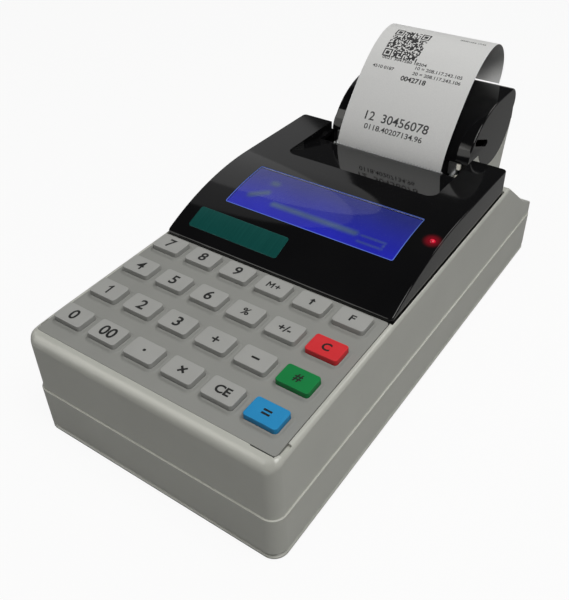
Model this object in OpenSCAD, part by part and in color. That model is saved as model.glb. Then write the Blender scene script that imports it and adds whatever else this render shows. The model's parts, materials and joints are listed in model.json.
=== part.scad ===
// Portable ticket register: tapered two-part case, 24-key silicone keypad, glossy
// display cover with a paper exit, and a humped paper-roll lid over a roll printer.
// Millimetres. X is the width, +Y runs from the user to the rear, +Z is up.

/* [Case] */
// Width of the lower case at the seam
case_w = 118.8; // [116:0.2:124]
// Depth of the lower case, front to rear
case_l = 238; // [236:0.5:246]
// Height of the seam between the two case halves
seam_z = 22.6; // [21:0.2:25]
// Height of the top rim at the front edge
rim_z = 50.1; // [49:0.1:54]
// Upward tilt of the keypad towards the rear, in degrees
tilt = 1.8; // [0:0.1:3]
// Wall thickness of the case halves
wall = 2; // [1.6:0.1:2.4]
// Vertical corner radius of the case
corner_r = 6; // [4:0.5:8]

/* [Keypad] */
// Pitch of the keys, both ways
key_pitch = 18.2; // [17.5:0.1:18.4]
// Width of a key top
key_w = 13; // [11:0.2:14]
// Depth of a key top
key_d = 8.6; // [7:0.2:10]
// Height of the key tops over the mat
key_rise = 2.2; // [1.5:0.1:3]
// Travel of a key
key_travel = 1.2; // [0.6:0.1:1.4]
// Front edge of the first row of keys, from the case front
key_front = 12.6; // [12:0.1:14]

/* [Display cover] */
// Width of the display cover
cover_w = 113.6; // [110:0.2:113.8]
// Front edge of the cover, from the case front
cover_front = 79.8; // [79:0.1:81]
// Height of the flat top of the cover
cover_z = 68; // [66:0.2:70]
// Width of the paper exit recess
recess_w = 79; // [70:0.5:79]
// Width of the visible display window
window_w = 84; // [70:0.5:88]

/* [Printer] */
// Width of the receipt paper
paper_w = 57.5; // [56:0.5:57.5]
// Radius of the full paper roll
roll_r = 20; // [15:0.5:20]
// Radius of the platen roller
platen_r = 5; // [4.5:0.1:5]
// Tooth size (module) of the drive gears
gear_m = 0.5; // [0.5:0.1:0.5]
// Width of the humped lid over the paper roll
lid_w = 76; // [74:0.5:76]

/* [Hidden] */

$fn = 48;
eps = 0.01;
fit_gap = 0.3;

// Overall frame: the origin is under the middle of the whole object
hinge_at = [242.8, 70.2];
knuckle_r = 2.3;
overall_l = hinge_at[0] + knuckle_r;
foot_h = 0.8;

// Case outline
upper_l = case_l + 2;
half_w = case_w / 2;
rim_half = half_w - 1;
side_fillet = 1.8;
front_fillet = 3.5;
front_draft = 0.9;
rim_inner = 56.2;
rim_front = 6.1;
top_end = 194.5;
floor_z = foot_h + wall + 0.2;

// Rear slope of the upper case, as [distance from front, height]
slope = [[top_end, rim_at(top_end)], [222, 35.6], [231.5, 31], [238, 27], [upper_l, 24]];

// Keypad stack, heights over the tilted rim plane
mat_t = 1.4;
deck_top = -1.5;
deck_bottom = -3.4;
flange_top = deck_bottom - fit_gap;
flange_t = 0.8;
flange_over = 1;
post_l = 0.7;
board_t = 1.6;
keyboard_top = flange_top - flange_t - post_l - key_travel - 0.2;
key_gap = 0.35;
key_r = 1.6;

// Display cover
cover_rear = 190;
cover_t = 2;
cover_fold = 139;
cover_arc_r = 131;
face_n = 14;
seat_depth = 2.2;
window_x = 1.2;
window_front = 102.6;
window_rear = 130.8;
recess_front = 148;
recess_drop = 4.2;
recess_r = 5;
slot_front = 176.8;
badge_size = [47.6, 10.6];
badge_at = [-25, 85.3];
lamp_at = [52.8, 119.4];

// Paper roll hood: an elliptical front, a flat top and a round rear nose
hood_c = [222, 60];
hood_a = 34.5;
hood_b = 26.3;
hood_top = hood_c[1] + hood_b;
nose_r = 7.5;
nose_c = [237.3, hood_top - nose_r];
lid_t = 1.8;
lid_half = lid_w / 2;
skirt_c = [221, 75];
skirt_r = 22;
skirt_front_z = 65.2;
tower_front = 191;
tower_gap = 0.35;
pin_r = 1;
lid_knuckle_l = 36;
case_knuckle = [lid_knuckle_l / 2 + fit_gap, 28];

// Paper path
roll_c = [215.6, 59.5];
core_r = 8;
core_bore = 6;
bin_gap = 0.9;
bin_t = 1.35;
platen_c = [183.8, 54];
paper_t = 0.15;
web_r = platen_r + 0.4;

// Printer
plate_x = 31.5;
plate_t = 1.5;
shaft_r = 1.5;
shaft_gap = 0.05;
platen_teeth = 24;
idler_teeth = 30;
pinion_teeth = 12;
gear_x = plate_x + plate_t + 0.8;
gear_w = 3;
backlash = 0.12;
idler_dir = 200;
pinion_dir = 190;
platen_pitch = gear_m * platen_teeth / 2;
idler_pitch = gear_m * idler_teeth / 2;
pinion_pitch = gear_m * pinion_teeth / 2;
idler_c = platen_c + (platen_pitch + idler_pitch) * [cos(idler_dir), sin(idler_dir)];
pinion_c = idler_c + (idler_pitch + pinion_pitch) * [cos(pinion_dir), sin(pinion_dir)];
plate_front = 170;
plate_rear = 190.6;
idler_turn = idler_dir + 180 + 180 / idler_teeth;
pinion_turn = pinion_dir + 180 + 180 / pinion_teeth
    + (pinion_dir - idler_turn) * idler_teeth / pinion_teeth;
motor_r = 8;
motor_l = 14;
frame_z = 40;
head_y = platen_c[0] - web_r - 0.35;

// Electronics
mainboard_z = 7.6;
mainboard = [104, 132];
mainboard_front = 13;
battery = [52, 76, 13.8];
battery_front = 153;
door_half = 27.2;
door_front = 150;
door_t = 1.8;
screw_at = [[52.4, 7.4], [52.4, 224]];
screw_r = 1.4;
boss_r = 3.4;
foot_at = [[48, 20], [46, 206]];
printer_posts = [174.5, 187.4];
foot_r = 5;
port_x = -half_w + wall + 0.25;
port_y = 116;
jack_y = 92;

case_grey = [0.60, 0.60, 0.57];
mat_grey = [0.56, 0.57, 0.56];
key_grey = [0.62, 0.63, 0.61];
gloss_black = [0.03, 0.03, 0.04];
steel = [0.72, 0.73, 0.74];
board_green = [0.10, 0.36, 0.20];
paper_white = [0.93, 0.93, 0.91];

function rim_at(y) = rim_z + y * tan(tilt);
function arc(c, r, from, to, n = 12) =
    [for (i = [0 : n]) let (a = from + (to - from) * i / n) c + r * [cos(a), sin(a)]];
function bezier(a, b, c, d, n = 12) = [for (i = [0 : n]) let (t = i / n, s = 1 - t)
    s * s * s * a + 3 * s * s * t * b + 3 * s * t * t * c + t * t * t * d];
function unit(v) = v / norm(v);
function turn_left(v) = [-v[1], v[0]];
function heading(path, i) = unit(path[min(i + 1, len(path) - 1)] - path[max(i - 1, 0)]);
function beside(path, off) = [for (i = [0 : len(path) - 1])
    path[i] + off * turn_left(heading(path, i))];
function reversed(list) = [for (i = [len(list) - 1 : -1 : 0]) list[i]];

// Draws a shape of the Y-Z plane and extrudes it along X, centred
module along_x(width) {
    rotate([90, 0, 90])
        linear_extrude(height = width, center = true) children();
}

// Moves the children from the front-edge frame to the frame of the whole object
module place() {
    translate([0, -overall_l / 2, 0]) children();
}

// Puts the children on the tilted plane of the top rim
module on_rim() {
    translate([0, 0, rim_z]) rotate([tilt, 0, 0]) children();
}

module mirrored_x() {
    children();
    mirror([1, 0, 0]) children();
}

module rounded_rect(size, r) {
    square([size[0] - 2 * r, size[1]], center = true);
    square([size[0], size[1] - 2 * r], center = true);
    for (sx = [-1, 1], sy = [-1, 1])
        translate([sx * (size[0] / 2 - r), sy * (size[1] / 2 - r)]) circle(r);
}

module slab(x0, x1, y0, y1, z0, z1) {
    translate([x0, y0, z0]) cube([x1 - x0, y1 - y0, z1 - z0]);
}

module tube(outer_r, inner_r, h) {
    difference() {
        cylinder(r = outer_r, h = h);
        translate([0, 0, -eps]) cylinder(r = inner_r, h = h + 2 * eps);
    }
}

module rod_x(c, r, x0, x1) {
    translate([x0, c[0], c[1]]) rotate([0, 90, 0]) cylinder(r = r, h = x1 - x0);
}

// Plan outline of a case half, inset by t
module case_plan(l, t) {
    translate([0, l / 2])
        rounded_rect([case_w - 2 * t, l - 2 * t], corner_r - t);
}

// Solid block of the upper case, inset by t: plan, side and drafted front outlines meet
module upper_block(t) {
    intersection() {
        linear_extrude(height = rim_at(top_end) + 5) case_plan(upper_l, t);
        along_x(case_w) polygon(side_points(t));
        on_rim() rotate([90, 0, 0]) translate([0, 0, -upper_l - 20])
            linear_extrude(height = upper_l + 40) drafted_front(t);
    }
}

function side_points(t) = concat(
    [[t, -1], [t, seam_z]],
    arc([front_draft + front_fillet, rim_at(4) - front_fillet], front_fillet - t * 0.9, 180, 92, 8),
    [slope[0] + t * [-0.35, -1], slope[1] + t * [-0.53, -0.86], slope[2] + t * [-0.48, -0.88],
    slope[3] + t * [-0.71, -0.74], slope[4] + t * [-1, -0.3], [upper_l - t, -1]]);

module drafted_front(t) {
    top_half = rim_half - t;
    r = max(side_fillet - t, 0.2);
    right = concat([[half_w - t, seam_z - rim_z]], arc([top_half - r, -t - r], r, 0, 90, 6));
    polygon(concat([[half_w - t, -80]], right, reversed([for (p = right) [-p[0], p[1]]]),
        [[-half_w + t, -80]]));
}

// Outline of the hood, inset by t, from its front foot over the top to the nose
function hood_line(t) = concat(
    [for (i = [0 : 14]) let (a = 170 - 80 * i / 14)
        hood_c + [(hood_a - t) * cos(a), (hood_b - t) * sin(a)]],
    arc(nose_c, nose_r - t, 90, -42, 10));

function skirt_arc(gap) = arc(skirt_c, skirt_r + gap, -18, -153.5, 16);

module lower_case() place() {
    color(case_grey) difference() {
        union() {
            difference() {
                translate([0, 0, foot_h])
                    linear_extrude(height = seam_z - foot_h) case_plan(case_l, 0);
                translate([0, 0, floor_z]) linear_extrude(height = seam_z) case_plan(case_l, wall + 0.2);
            }
            seam_tongue();
            slab(-32, 32, door_front - 3, case_l - 1, floor_z - eps, floor_z + 1.6);
            mirrored_x() for (p = screw_at)
                translate([p[0], p[1], floor_z - eps]) cylinder(r = boss_r, h = seam_z - floor_z);
            mirrored_x() for (y = printer_posts)
                translate([30.6, y, floor_z - eps]) cylinder(r = 2.6, h = frame_z - floor_z + eps);
            mirrored_x() for (y = [30, 132])
                translate([44, y, floor_z - eps]) cylinder(r = 3, h = mainboard_z - floor_z + eps);
        }
        base_groove();
        battery_opening();
        mirrored_x() for (p = screw_at) translate([p[0], p[1], 0]) {
            cylinder(r = 3, h = 5.2);
            cylinder(r = screw_r + 0.2, h = seam_z + 3);
        }
        mirrored_x() for (p = foot_at) translate([p[0], p[1], 0]) cylinder(r = foot_r + 0.1, h = foot_h + 1);
        slab(-half_w - 1, port_x + 1, port_y - 7.2, port_y + 7.2, mainboard_z + board_t - 0.2, 21);
        translate([-half_w - 1, jack_y, mainboard_z + board_t + 5.5])
            rotate([0, 90, 0]) cylinder(r = 4.6, h = wall + 3);
    }
}

// Thin wall on the lower case that locates the upper case
module seam_tongue() {
    for (band = [[-3, 3, 0], [-eps, 1.6, 0.3]])
        translate([0, 0, seam_z + band[0]]) linear_extrude(height = band[1]) difference() {
            case_plan(case_l, wall + band[2]);
            case_plan(case_l, wall + 1.4);
        }
}

// Shadow groove that runs round the foot of the case
module base_groove() {
    translate([0, 0, foot_h + 1.6]) linear_extrude(height = 0.6) difference() {
        translate([0, -5]) case_plan(case_l + 10, -5);
        case_plan(case_l, 0.5);
    }
}

// Battery opening with its two slide grooves, open at the rear
module battery_opening() {
    slab(-door_half - 0.2, door_half + 0.2, door_front - 0.3, case_l + 1, 0, foot_h + door_t + 0.2);
    mirrored_x() slab(door_half - 1, door_half + 1.4, door_front - 0.3, case_l + 1, 1.5, 2.5);
    slab(-battery[0] / 2, battery[0] / 2, battery_front, battery_front + battery[1], 0, floor_z + 2);
}

module upper_case() place() {
    color(case_grey) difference() {
        union() {
            difference() {
                upper_block(0);
                difference() {
                    upper_block(wall);
                    on_rim() slab(-80, 80, 0, top_end, deck_bottom, 5);
                }
            }
            intersection() {
                upper_block(0.8);
                mirrored_x() for (p = screw_at)
                    translate([p[0], p[1], seam_z]) cylinder(r = boss_r, h = 26);
            }
            on_rim() for (p = [[-36.4, 1], [36.4, 1], [-36.4, 3], [36.4, 3], [0, 2]])
                translate([p[0], key_row_y(p[1]) - key_pitch / 2, keyboard_top])
                    cylinder(r = 1.3, h = -keyboard_top - 2);
            roll_tower();
        }
        slab(-80, 80, -5, 260, -5, seam_z + 0.3);
        on_rim() keypad_cuts();
        on_rim() cover_seat();
        tower_hollow();
        mirrored_x() for (p = screw_at)
            translate([p[0], p[1], seam_z - 1]) cylinder(r = screw_r + 0.05, h = 10);
    }
    color(case_grey) case_knuckles();
}

function key_x(col) = (col - 2.5) * key_pitch;
function key_row_y(row) = key_front + key_d / 2 + row * key_pitch;

module keypad_cuts() {
    translate([0, (rim_front + cover_front + 3) / 2, deck_top]) linear_extrude(height = 10)
        rounded_rect([2 * rim_inner, cover_front + 3 - rim_front], 2.5);
    translate([rim_inner - 1, rim_front + 3, deck_top]) cube([2.2, 5, 10]);
    for (row = [0 : 3], col = [0 : 5])
        translate([key_x(col), key_row_y(row), deck_bottom - 1]) linear_extrude(height = 5)
            rounded_rect([key_w + 2 * key_gap, key_d + 2 * key_gap], key_r + key_gap);
}

// Stepped opening that the display cover sits in
module cover_seat() {
    slab(-cover_w / 2 - 0.5, cover_w / 2 + 0.5, cover_front - 0.4, cover_rear + 0.5, -seat_depth, 20);
    slab(-54.4, 54.4, 96, cover_rear - 2, -20, 20);
}

// Raised housing round the paper roll, in one piece with the upper case
module roll_tower() {
    along_x(lid_w) polygon(concat(
        [[tower_front, seam_z + 3], [tower_front, skirt_front_z - tower_gap]],
        reversed(skirt_arc(tower_gap)), tower_back(0)));
}

function tower_back(t) = [[242.6 - t, 68], [240 - t, 58], [237 - t, 42],
    [237 - t, seam_z + (t > 0 ? -5 : 3)]];

// Two hinge knuckles with their webs on the rear wall of the tower
module case_knuckles() {
    mirrored_x() difference() {
        union() {
            rod_x(hinge_at, knuckle_r, case_knuckle[0], case_knuckle[1]);
            translate([(case_knuckle[0] + case_knuckle[1]) / 2, 0, 0])
                along_x(case_knuckle[1] - case_knuckle[0]) polygon([
                    hinge_at + [-2.2, 0.6], hinge_at + [-3.6, -5], hinge_at + [-4, -9.5],
                    hinge_at + [-2.6, -11], hinge_at + [2.2, -0.6]]);
        }
        rod_x(hinge_at, pin_r + 0.05, 0, 40);
    }
}

module tower_hollow() {
    along_x(lid_w - 2 * wall) polygon(concat(
        [[tower_front + wall, seam_z - 5], [tower_front + wall, 80], [242.6 - wall, 80]],
        tower_back(wall)));
    slab(-28.5, 28.5, 237, 246, hinge_at[1] - 2.8, 76);
    slab(-30, 30, tower_front - 1, tower_front + wall + 1, 41, 49);
    slab(-lid_half - 2, lid_half + 2, 185, tower_front, 44, 70);
}

module keypad_mat() place() {
    color(mat_grey) on_rim() difference() {
        translate([0, (rim_front + cover_front) / 2 + 0.2, -mat_t]) linear_extrude(height = mat_t)
            rounded_rect([2 * rim_inner - 0.5, cover_front - rim_front - 0.8], 2.3);
        for (row = [0 : 3], col = [0 : 5])
            translate([key_x(col), key_row_y(row), -mat_t - 1]) linear_extrude(height = mat_t + 2)
                rounded_rect([key_w + 2 * key_gap, key_d + 2 * key_gap], key_r + key_gap);
    }
}

module key(col, row, paint) {
    cap_h = key_rise - flange_top;
    flange = [key_w + 2 * flange_over, key_d + 2 * flange_over];
    place() color(paint) on_rim() translate([key_x(col), key_row_y(row), 0]) {
        translate([0, 0, flange_top]) linear_extrude(height = cap_h - 0.4)
            rounded_rect([key_w, key_d], key_r);
        translate([0, 0, key_rise - 0.4]) linear_extrude(height = 0.4)
            rounded_rect([key_w - 0.6, key_d - 0.6], key_r - 0.3);
        translate([0, 0, flange_top - flange_t]) linear_extrude(height = flange_t)
            rounded_rect(flange, key_r);
        translate([0, 0, flange_top - flange_t - post_l]) cylinder(r = 2, h = post_l);
    }
}

module key_0() key(0, 0, key_grey);
module key_00() key(1, 0, key_grey);
module key_point() key(2, 0, key_grey);
module key_times() key(3, 0, key_grey);
module key_clear() key(4, 0, key_grey);
module key_blue() key(5, 0, [0.13, 0.45, 0.72]);
module key_1() key(0, 1, key_grey);
module key_2() key(1, 1, key_grey);
module key_3() key(2, 1, key_grey);
module key_plus() key(3, 1, key_grey);
module key_minus() key(4, 1, key_grey);
module key_green() key(5, 1, [0.36, 0.62, 0.30]);
module key_4() key(0, 2, key_grey);
module key_5() key(1, 2, key_grey);
module key_6() key(2, 2, key_grey);
module key_percent() key(3, 2, key_grey);
module key_change() key(4, 2, key_grey);
module key_red() key(5, 2, [0.80, 0.22, 0.22]);
module key_7() key(0, 3, key_grey);
module key_8() key(1, 3, key_grey);
module key_9() key(2, 3, key_grey);
module key_memory() key(3, 3, key_grey);
module key_up() key(4, 3, key_grey);
module key_mode() key(5, 3, key_grey);

module keypad_board() place() {
    color(board_green) on_rim() difference() {
        translate([0, 44, keyboard_top - board_t]) linear_extrude(height = board_t)
            rounded_rect([110, 64], 1);
        mirrored_x() translate([screw_at[0][0], screw_at[0][1], keyboard_top - board_t - 1])
            cylinder(r = boss_r + 1.2, h = board_t + 2);
    }
}

// Side outline of the display cover, lowered by t: curved display face, flat rear
module cover_outline(t) {
    front = cover_front + max(t, 0);
    rear = cover_rear - max(t, 0);
    polygon(concat([[front, 40]],
        [for (i = [0 : face_n]) let (y = front + (cover_fold - front) * i / face_n)
            [y, cover_height(y) - t]],
        [[rear, cover_z - t], [rear, 40]]));
}

module cover_block(t) {
    intersection() {
        along_x(cover_w - 2 * t) cover_outline(t);
        translate([0, (cover_front + cover_rear) / 2, 30]) linear_extrude(height = 60)
            rounded_rect([cover_w - 2 * t, cover_rear - cover_front - 2 * t], 2);
        on_rim() slab(-80, 80, 60, 220, t > 0 ? -10 : -seat_depth + 0.1, 40);
    }
}

// Shallow tray that slopes down to the paper slot
module recess_block(grow) {
    translate([0, 0, -grow]) intersection() {
        translate([0, cover_rear, 0]) linear_extrude(height = 90)
            rounded_rect([recess_w + 2 * grow, 2 * (cover_rear - recess_front + grow)], recess_r + grow);
        along_x(recess_w + 2 * grow) polygon([[recess_front - grow, cover_z - 0.1],
            [slot_front, cover_z - recess_drop], [cover_rear + 1, cover_z - recess_drop],
            [cover_rear + 1, 90], [recess_front - grow, 90]]);
    }
}

module display_cover() place() {
    color(gloss_black) difference() {
        union() {
            difference() {
                cover_block(0);
                cover_block(cover_t);
            }
            intersection() {
                recess_block(cover_t);
                cover_block(0);
            }
            on_display() board_posts();
        }
        recess_block(0);
        slab(-recess_w / 2, recess_w / 2, slot_front, cover_rear + 1, 40, 90);
        translate([window_x, (window_front + window_rear) / 2, 40]) linear_extrude(height = 40)
            rounded_rect([window_w + 0.8, window_rear - window_front], 1.2);
        translate([lamp_at[0], lamp_at[1], 40]) cylinder(r = 1.6, h = 40);
    }
}

module display_window() place() {
    color([0.35, 0.4, 0.75, 0.5]) intersection() {
        difference() {
            along_x(cover_w) cover_outline(0.1);
            along_x(cover_w + 2) cover_outline(1.6);
        }
        translate([window_x, (window_front + window_rear) / 2, 40]) linear_extrude(height = 40)
            rounded_rect([window_w + 0.6, window_rear - window_front - 0.2], 1.1);
    }
}

// Four posts that carry the display board
module board_posts() {
    mirrored_x() for (y = [0, 28])
        translate([50, y, -7]) cylinder(r = 1.3, h = 6);
}

// Frame that follows the chord of the display face
module on_display() {
    rise = cover_height(window_rear) - cover_height(window_front);
    translate([window_x, window_front, cover_height(window_front)])
        rotate([atan2(rise, window_rear - window_front), 0, 0]) children();
}

function cover_height(y) = cover_z - cover_arc_r
    + sqrt(cover_arc_r * cover_arc_r - (cover_fold - y) * (cover_fold - y));

module display_panel() place() {
    color([0.16, 0.22, 0.75]) on_display() {
        translate([0, 14.2, -5.4]) linear_extrude(height = 2.8) rounded_rect([94, 34], 0.8);
    }
}

module display_board() place() {
    color(board_green) on_display() {
        translate([0, 14.2, -7 - board_t]) linear_extrude(height = board_t) rounded_rect([106, 40], 1);
        mirrored_x() for (y = [-1, 29.4]) translate([44.5, y, -7 - eps]) cylinder(r = 1.2, h = 1.6 + eps);
    }
}

module badge_plate() place() {
    color([0.10, 0.62, 0.62]) intersection() {
        difference() {
            along_x(cover_w) cover_outline(-0.25);
            along_x(cover_w + 2) cover_outline(0);
        }
        translate([badge_at[0], badge_at[1] + badge_size[1] / 2, 40])
            linear_extrude(height = 40) rounded_rect(badge_size, 1.2);
    }
}

module status_lamp() place() {
    color([0.9, 0.1, 0.15]) translate([lamp_at[0], lamp_at[1], cover_height(lamp_at[1]) - 4]) {
        cylinder(r = 1.5, h = 4);
        translate([0, 0, -3.2]) cylinder(r = 1.8, h = 3.4);
    }
}

module tear_bar() place() {
    teeth = 38;
    pitch = 61 / teeth;
    edge_z = cover_z - recess_drop - 0.2;
    color(steel) translate([0, slot_front + 0.6, 0]) rotate([90, 0, 0]) linear_extrude(height = 0.6)
        polygon(concat([[-30.5, edge_z - 1.6]],
            [for (i = [0 : teeth - 1], k = [0, 1]) [-30.5 + pitch * (i + k / 2), edge_z + k * 0.9]],
            [[30.5, edge_z], [30.5, edge_z - 1.6]]));
}

module roll_lid() place() {
    color(gloss_black) difference() {
        union() {
            difference() {
                along_x(lid_w) polygon(concat(hood_line(0), [[243, 69]], skirt_arc(0),
                    [[188.3, skirt_front_z]]));
                along_x(lid_w - 2 * lid_t) polygon(concat(hood_line(lid_t),
                    [[241.3, 72.6], [241.3, 50], [hood_c[0] - hood_a + lid_t + 0.5, 50]]));
            }
            rod_x(hinge_at, knuckle_r, -lid_knuckle_l / 2, lid_knuckle_l / 2);
            along_x(lid_knuckle_l) polygon([hinge_at + [-0.6, 0], hinge_at + [-0.6, 6],
                hinge_at + [0.9, 6], hinge_at + [2.2, 0.6]]);
        }
        rod_x(hinge_at, pin_r + 0.06, -30, 30);
        mirrored_x() slab(lid_knuckle_l / 2, case_knuckle[1] + 0.5,
            hinge_at[0] - 3.2, hinge_at[0] + 4, 60, hinge_at[1] + 3);
        mirrored_x() side_slot();
    }
}

// Finger slot in the side skirt of the lid
module side_slot() {
    translate([lid_half - lid_t - 1, 196.4, 73.6]) rotate([-22, 0, 0]) {
        slab(0, lid_t + 2, 0, 14, -1.7, 1.7);
        translate([0, 14, 0]) rotate([0, 90, 0]) cylinder(r = 1.7, h = lid_t + 2);
    }
}

module hinge_pin() place() {
    color(steel) rod_x(hinge_at, pin_r, -case_knuckle[1], case_knuckle[1]);
}

// Cradle that the paper roll drops into
module roll_bin() place() {
    outer = roll_r + bin_gap + bin_t;
    color([0.16, 0.16, 0.17]) difference() {
        union() {
            intersection() {
                rod_x(roll_c, outer, -35.6, 35.6);
                slab(-40, 40, tower_front + wall + 0.1, 239, 30, roll_c[1] - 2);
            }
            slab(-35.9, 35.9, tower_front + wall + 0.02, roll_c[0] - roll_r, roll_c[1] - 5, roll_c[1] - 2);
        }
        rod_x(roll_c, roll_r + bin_gap, -paper_w / 2 - 0.8, paper_w / 2 + 0.8);
        mirrored_x() rod_x(roll_c, roll_r + bin_gap, paper_w / 2 + 2.4, 60);
        slab(-29.6, 29.6, tower_front, roll_c[0] - 9, 36, 49);
    }
}

module paper_roll() place() {
    color(paper_white) translate([-paper_w / 2, roll_c[0], roll_c[1]]) rotate([0, 90, 0])
        tube(roll_r, core_r + 0.02, paper_w);
}

module roll_core() place() {
    color([0.66, 0.52, 0.36]) translate([-paper_w / 2 + 0.4, roll_c[0], roll_c[1]]) rotate([0, 90, 0])
        tube(core_r, core_bore, paper_w - 0.8);
}

// Angle of the free web where it leaves the roll and meets the platen
web_span = norm(roll_c - platen_c);
web_lean = atan2(platen_c[1] - roll_c[1], platen_c[0] - roll_c[0]) + 360
    - asin((roll_r + 0.4 - web_r) / web_span) + 90;

web_inside = concat([roll_c + (roll_r + 0.4) * [cos(web_lean), sin(web_lean)]],
    arc(platen_c, web_r, web_lean, 180, 8));
web_front = bezier([178.4, 63], [179.2, 70.5], [190, 84], [200, 94], 12);
web_top = bezier([200, 94], [208.5, 102.5], [219, 109.2], [229, 109.2], 10);
web_back = bezier([229, 109.2], [239.5, 109.2], [249, 97.5], [242, 85.7], 14);
web_path = concat(web_inside, web_front,
    [for (i = [1 : len(web_top) - 1]) web_top[i]],
    [for (i = [1 : len(web_back) - 1]) web_back[i]]);

module receipt() place() {
    color(paper_white) along_x(paper_w)
        polygon(concat(beside(web_path, paper_t / 2), reversed(beside(web_path, -paper_t / 2))));
}

module printer_frame() place() {
    x1 = plate_x + plate_t;
    color(steel) difference() {
        union() {
            slab(-x1, x1, plate_front, plate_rear, frame_z, frame_z + 1.5);
            slab(-x1, -plate_x, plate_front, plate_rear, frame_z, 61);
            slab(plate_x, x1, 152, plate_rear, frame_z, 61);
            mirrored_x() slab(29.4, 33.4, 185.4, 186.4, 60, 66.2);
        }
        rod_x(platen_c, shaft_r + shaft_gap, -40, 40);
        rod_x(pinion_c, 1.6, plate_x - 1, x1 + 1);
        rod_x(idler_c, 1.0, plate_x - 1, x1 + 1);
        mirrored_x() for (y = printer_posts)
            translate([29.2, y, frame_z - 1]) cylinder(r = 0.9, h = 4);
    }
}

module print_head() place() {
    color([0.75, 0.72, 0.66]) {
        slab(-29.2, 29.2, head_y - 1.2, head_y, 45.5, 60);
        slab(-27, 27, head_y - 3.4, head_y - 1.2, 46.5, 59);
    }
}

// Bent strip that presses the head against the paper
module head_spring() place() {
    back = head_y - 3.4;
    color(steel) {
        slab(-28, 28, plate_front + 0.4, plate_front + 1, frame_z + 1.5, 43.5);
        mirrored_x() slab(20, 28, plate_front + 0.4, plate_front + 1, 43.4, 50);
        mirrored_x() translate([24, 0, 0]) along_x(8) polygon([[plate_front + 0.4, 49.9],
            [plate_front + 0.4, 54], [back - 0.02, 57], [back - 0.02, 56], [plate_front + 1, 53.4],
            [plate_front + 1, 49.9]]);
    }
}

module platen_roller() place() {
    color([0.12, 0.12, 0.13]) rod_x(platen_c, platen_r, -paper_w / 2 - 0.3, paper_w / 2 + 0.3);
    color(steel) rod_x(platen_c, shaft_r, -plate_x - plate_t - 0.6, gear_x + gear_w + 0.6);
}

// Spur gear outline with involute flanks, one tooth on the +X axis
function involute(rb, r) = let (a = acos(min(1, rb / r))) tan(a) * 180 / PI - a;
function gear_points(n) = let (
    rp = gear_m * n / 2, rb = rp * cos(20), ra = rp + gear_m, rr = rp - 1.25 * gear_m,
    half = 90 / n - backlash / rp * 90 / PI,
    at = function(r) half + involute(rb, rp) - involute(rb, max(r, rb)),
    rs = [for (i = [0 : 4]) max(rr, rb) + (ra - max(rr, rb)) * i / 4])
    [for (k = [0 : n - 1]) let (c = 360 * k / n) each concat(
        [rr * [cos(c - at(rb) - 1), sin(c - at(rb) - 1)]],
        [for (r = rs) r * [cos(c - at(r)), sin(c - at(r))]],
        [for (r = reversed(rs)) r * [cos(c + at(r)), sin(c + at(r))]],
        [rr * [cos(c + at(rb) + 1), sin(c + at(rb) + 1)]])];

module gear(c, n, turn, bore) {
    translate([gear_x, c[0], c[1]]) rotate([90, 0, 90]) difference() {
        linear_extrude(height = gear_w) rotate(turn) polygon(gear_points(n));
        translate([0, 0, -1]) cylinder(r = bore, h = gear_w + 2);
    }
}

module platen_gear() place() color([0.88, 0.87, 0.82])
    gear(platen_c, platen_teeth, idler_dir, shaft_r);
module idler_gear() place() color([0.88, 0.87, 0.82])
    gear(idler_c, idler_teeth, idler_turn, 1.05);
module motor_pinion() place() {
    color([0.8, 0.65, 0.3]) gear(pinion_c, pinion_teeth, pinion_turn, 0.9);
    color(steel) rod_x(pinion_c, 1, plate_x - 4, gear_x + gear_w + 0.5);
}

module idler_pin() place() {
    color(steel) {
        rod_x(idler_c, 1, plate_x - 0.2, gear_x + gear_w + 0.3);
        rod_x(idler_c, 1.8, gear_x + gear_w + 0.3, gear_x + gear_w + 1);
    }
}

module step_motor() place() {
    face = plate_x - 0.02;
    color([0.55, 0.56, 0.58]) difference() {
        union() {
            rod_x(pinion_c, motor_r, face - motor_l, face);
            rod_x(pinion_c, 1.55, face - 1, plate_x + plate_t);
            slab(face - motor_l + 2, face - 2, pinion_c[0] - 4, pinion_c[0] + 4,
                pinion_c[1] + motor_r - 1, pinion_c[1] + motor_r + 1.2);
        }
        rod_x(pinion_c, 1.05, plate_x - 4.3, 40);
    }
}

module main_board() place() {
    color(board_green) union() {
        translate([0, mainboard_front + mainboard[1] / 2, mainboard_z]) linear_extrude(height = board_t)
            rounded_rect(mainboard, 1.5);
        for (c = [[-30, 120, 12, 12, 1.4], [4, 118, 16, 10, 2.4], [-8, 92, 8, 8, 1.2], [30, 60, 14, 14, 1.6],
            [10, 40, 20, 6, 3], [40, 92, 6, 12, 4]])
            translate([c[0], c[1], mainboard_z + board_t - eps]) linear_extrude(height = c[4])
                square([c[2], c[3]], center = true);
        for (x = [16 : 7 : 37]) translate([x, 134, mainboard_z + board_t - eps]) cylinder(r = 2.6, h = 7);
    }
}

module memory_block() place() {
    color([0.18, 0.18, 0.2]) translate([-24, 48, mainboard_z + board_t]) linear_extrude(height = 8)
        rounded_rect([42, 26], 2);
}

module beeper() place() {
    color([0.1, 0.1, 0.1]) translate([34, 108, mainboard_z + board_t]) tube(6, 1.2, 5.5);
}

module power_jack() place() {
    z = mainboard_z + board_t;
    color([0.12, 0.12, 0.12]) difference() {
        slab(port_x, port_x + 13, jack_y - 4.5, jack_y + 4.5, z, z + 10.2);
        translate([port_x - 1, jack_y, z + 5.5]) rotate([0, 90, 0]) tube(3.1, 1, 11);
    }
}

module data_port() place() {
    z = mainboard_z + board_t;
    color(steel) difference() {
        slab(port_x, port_x + 14, port_y - 7, port_y + 7, z, z + 10.2);
        slab(port_x - 1, port_x + 11, port_y - 5.8, port_y + 5.8, z + 1.6, z + 9.2);
    }
}

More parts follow.
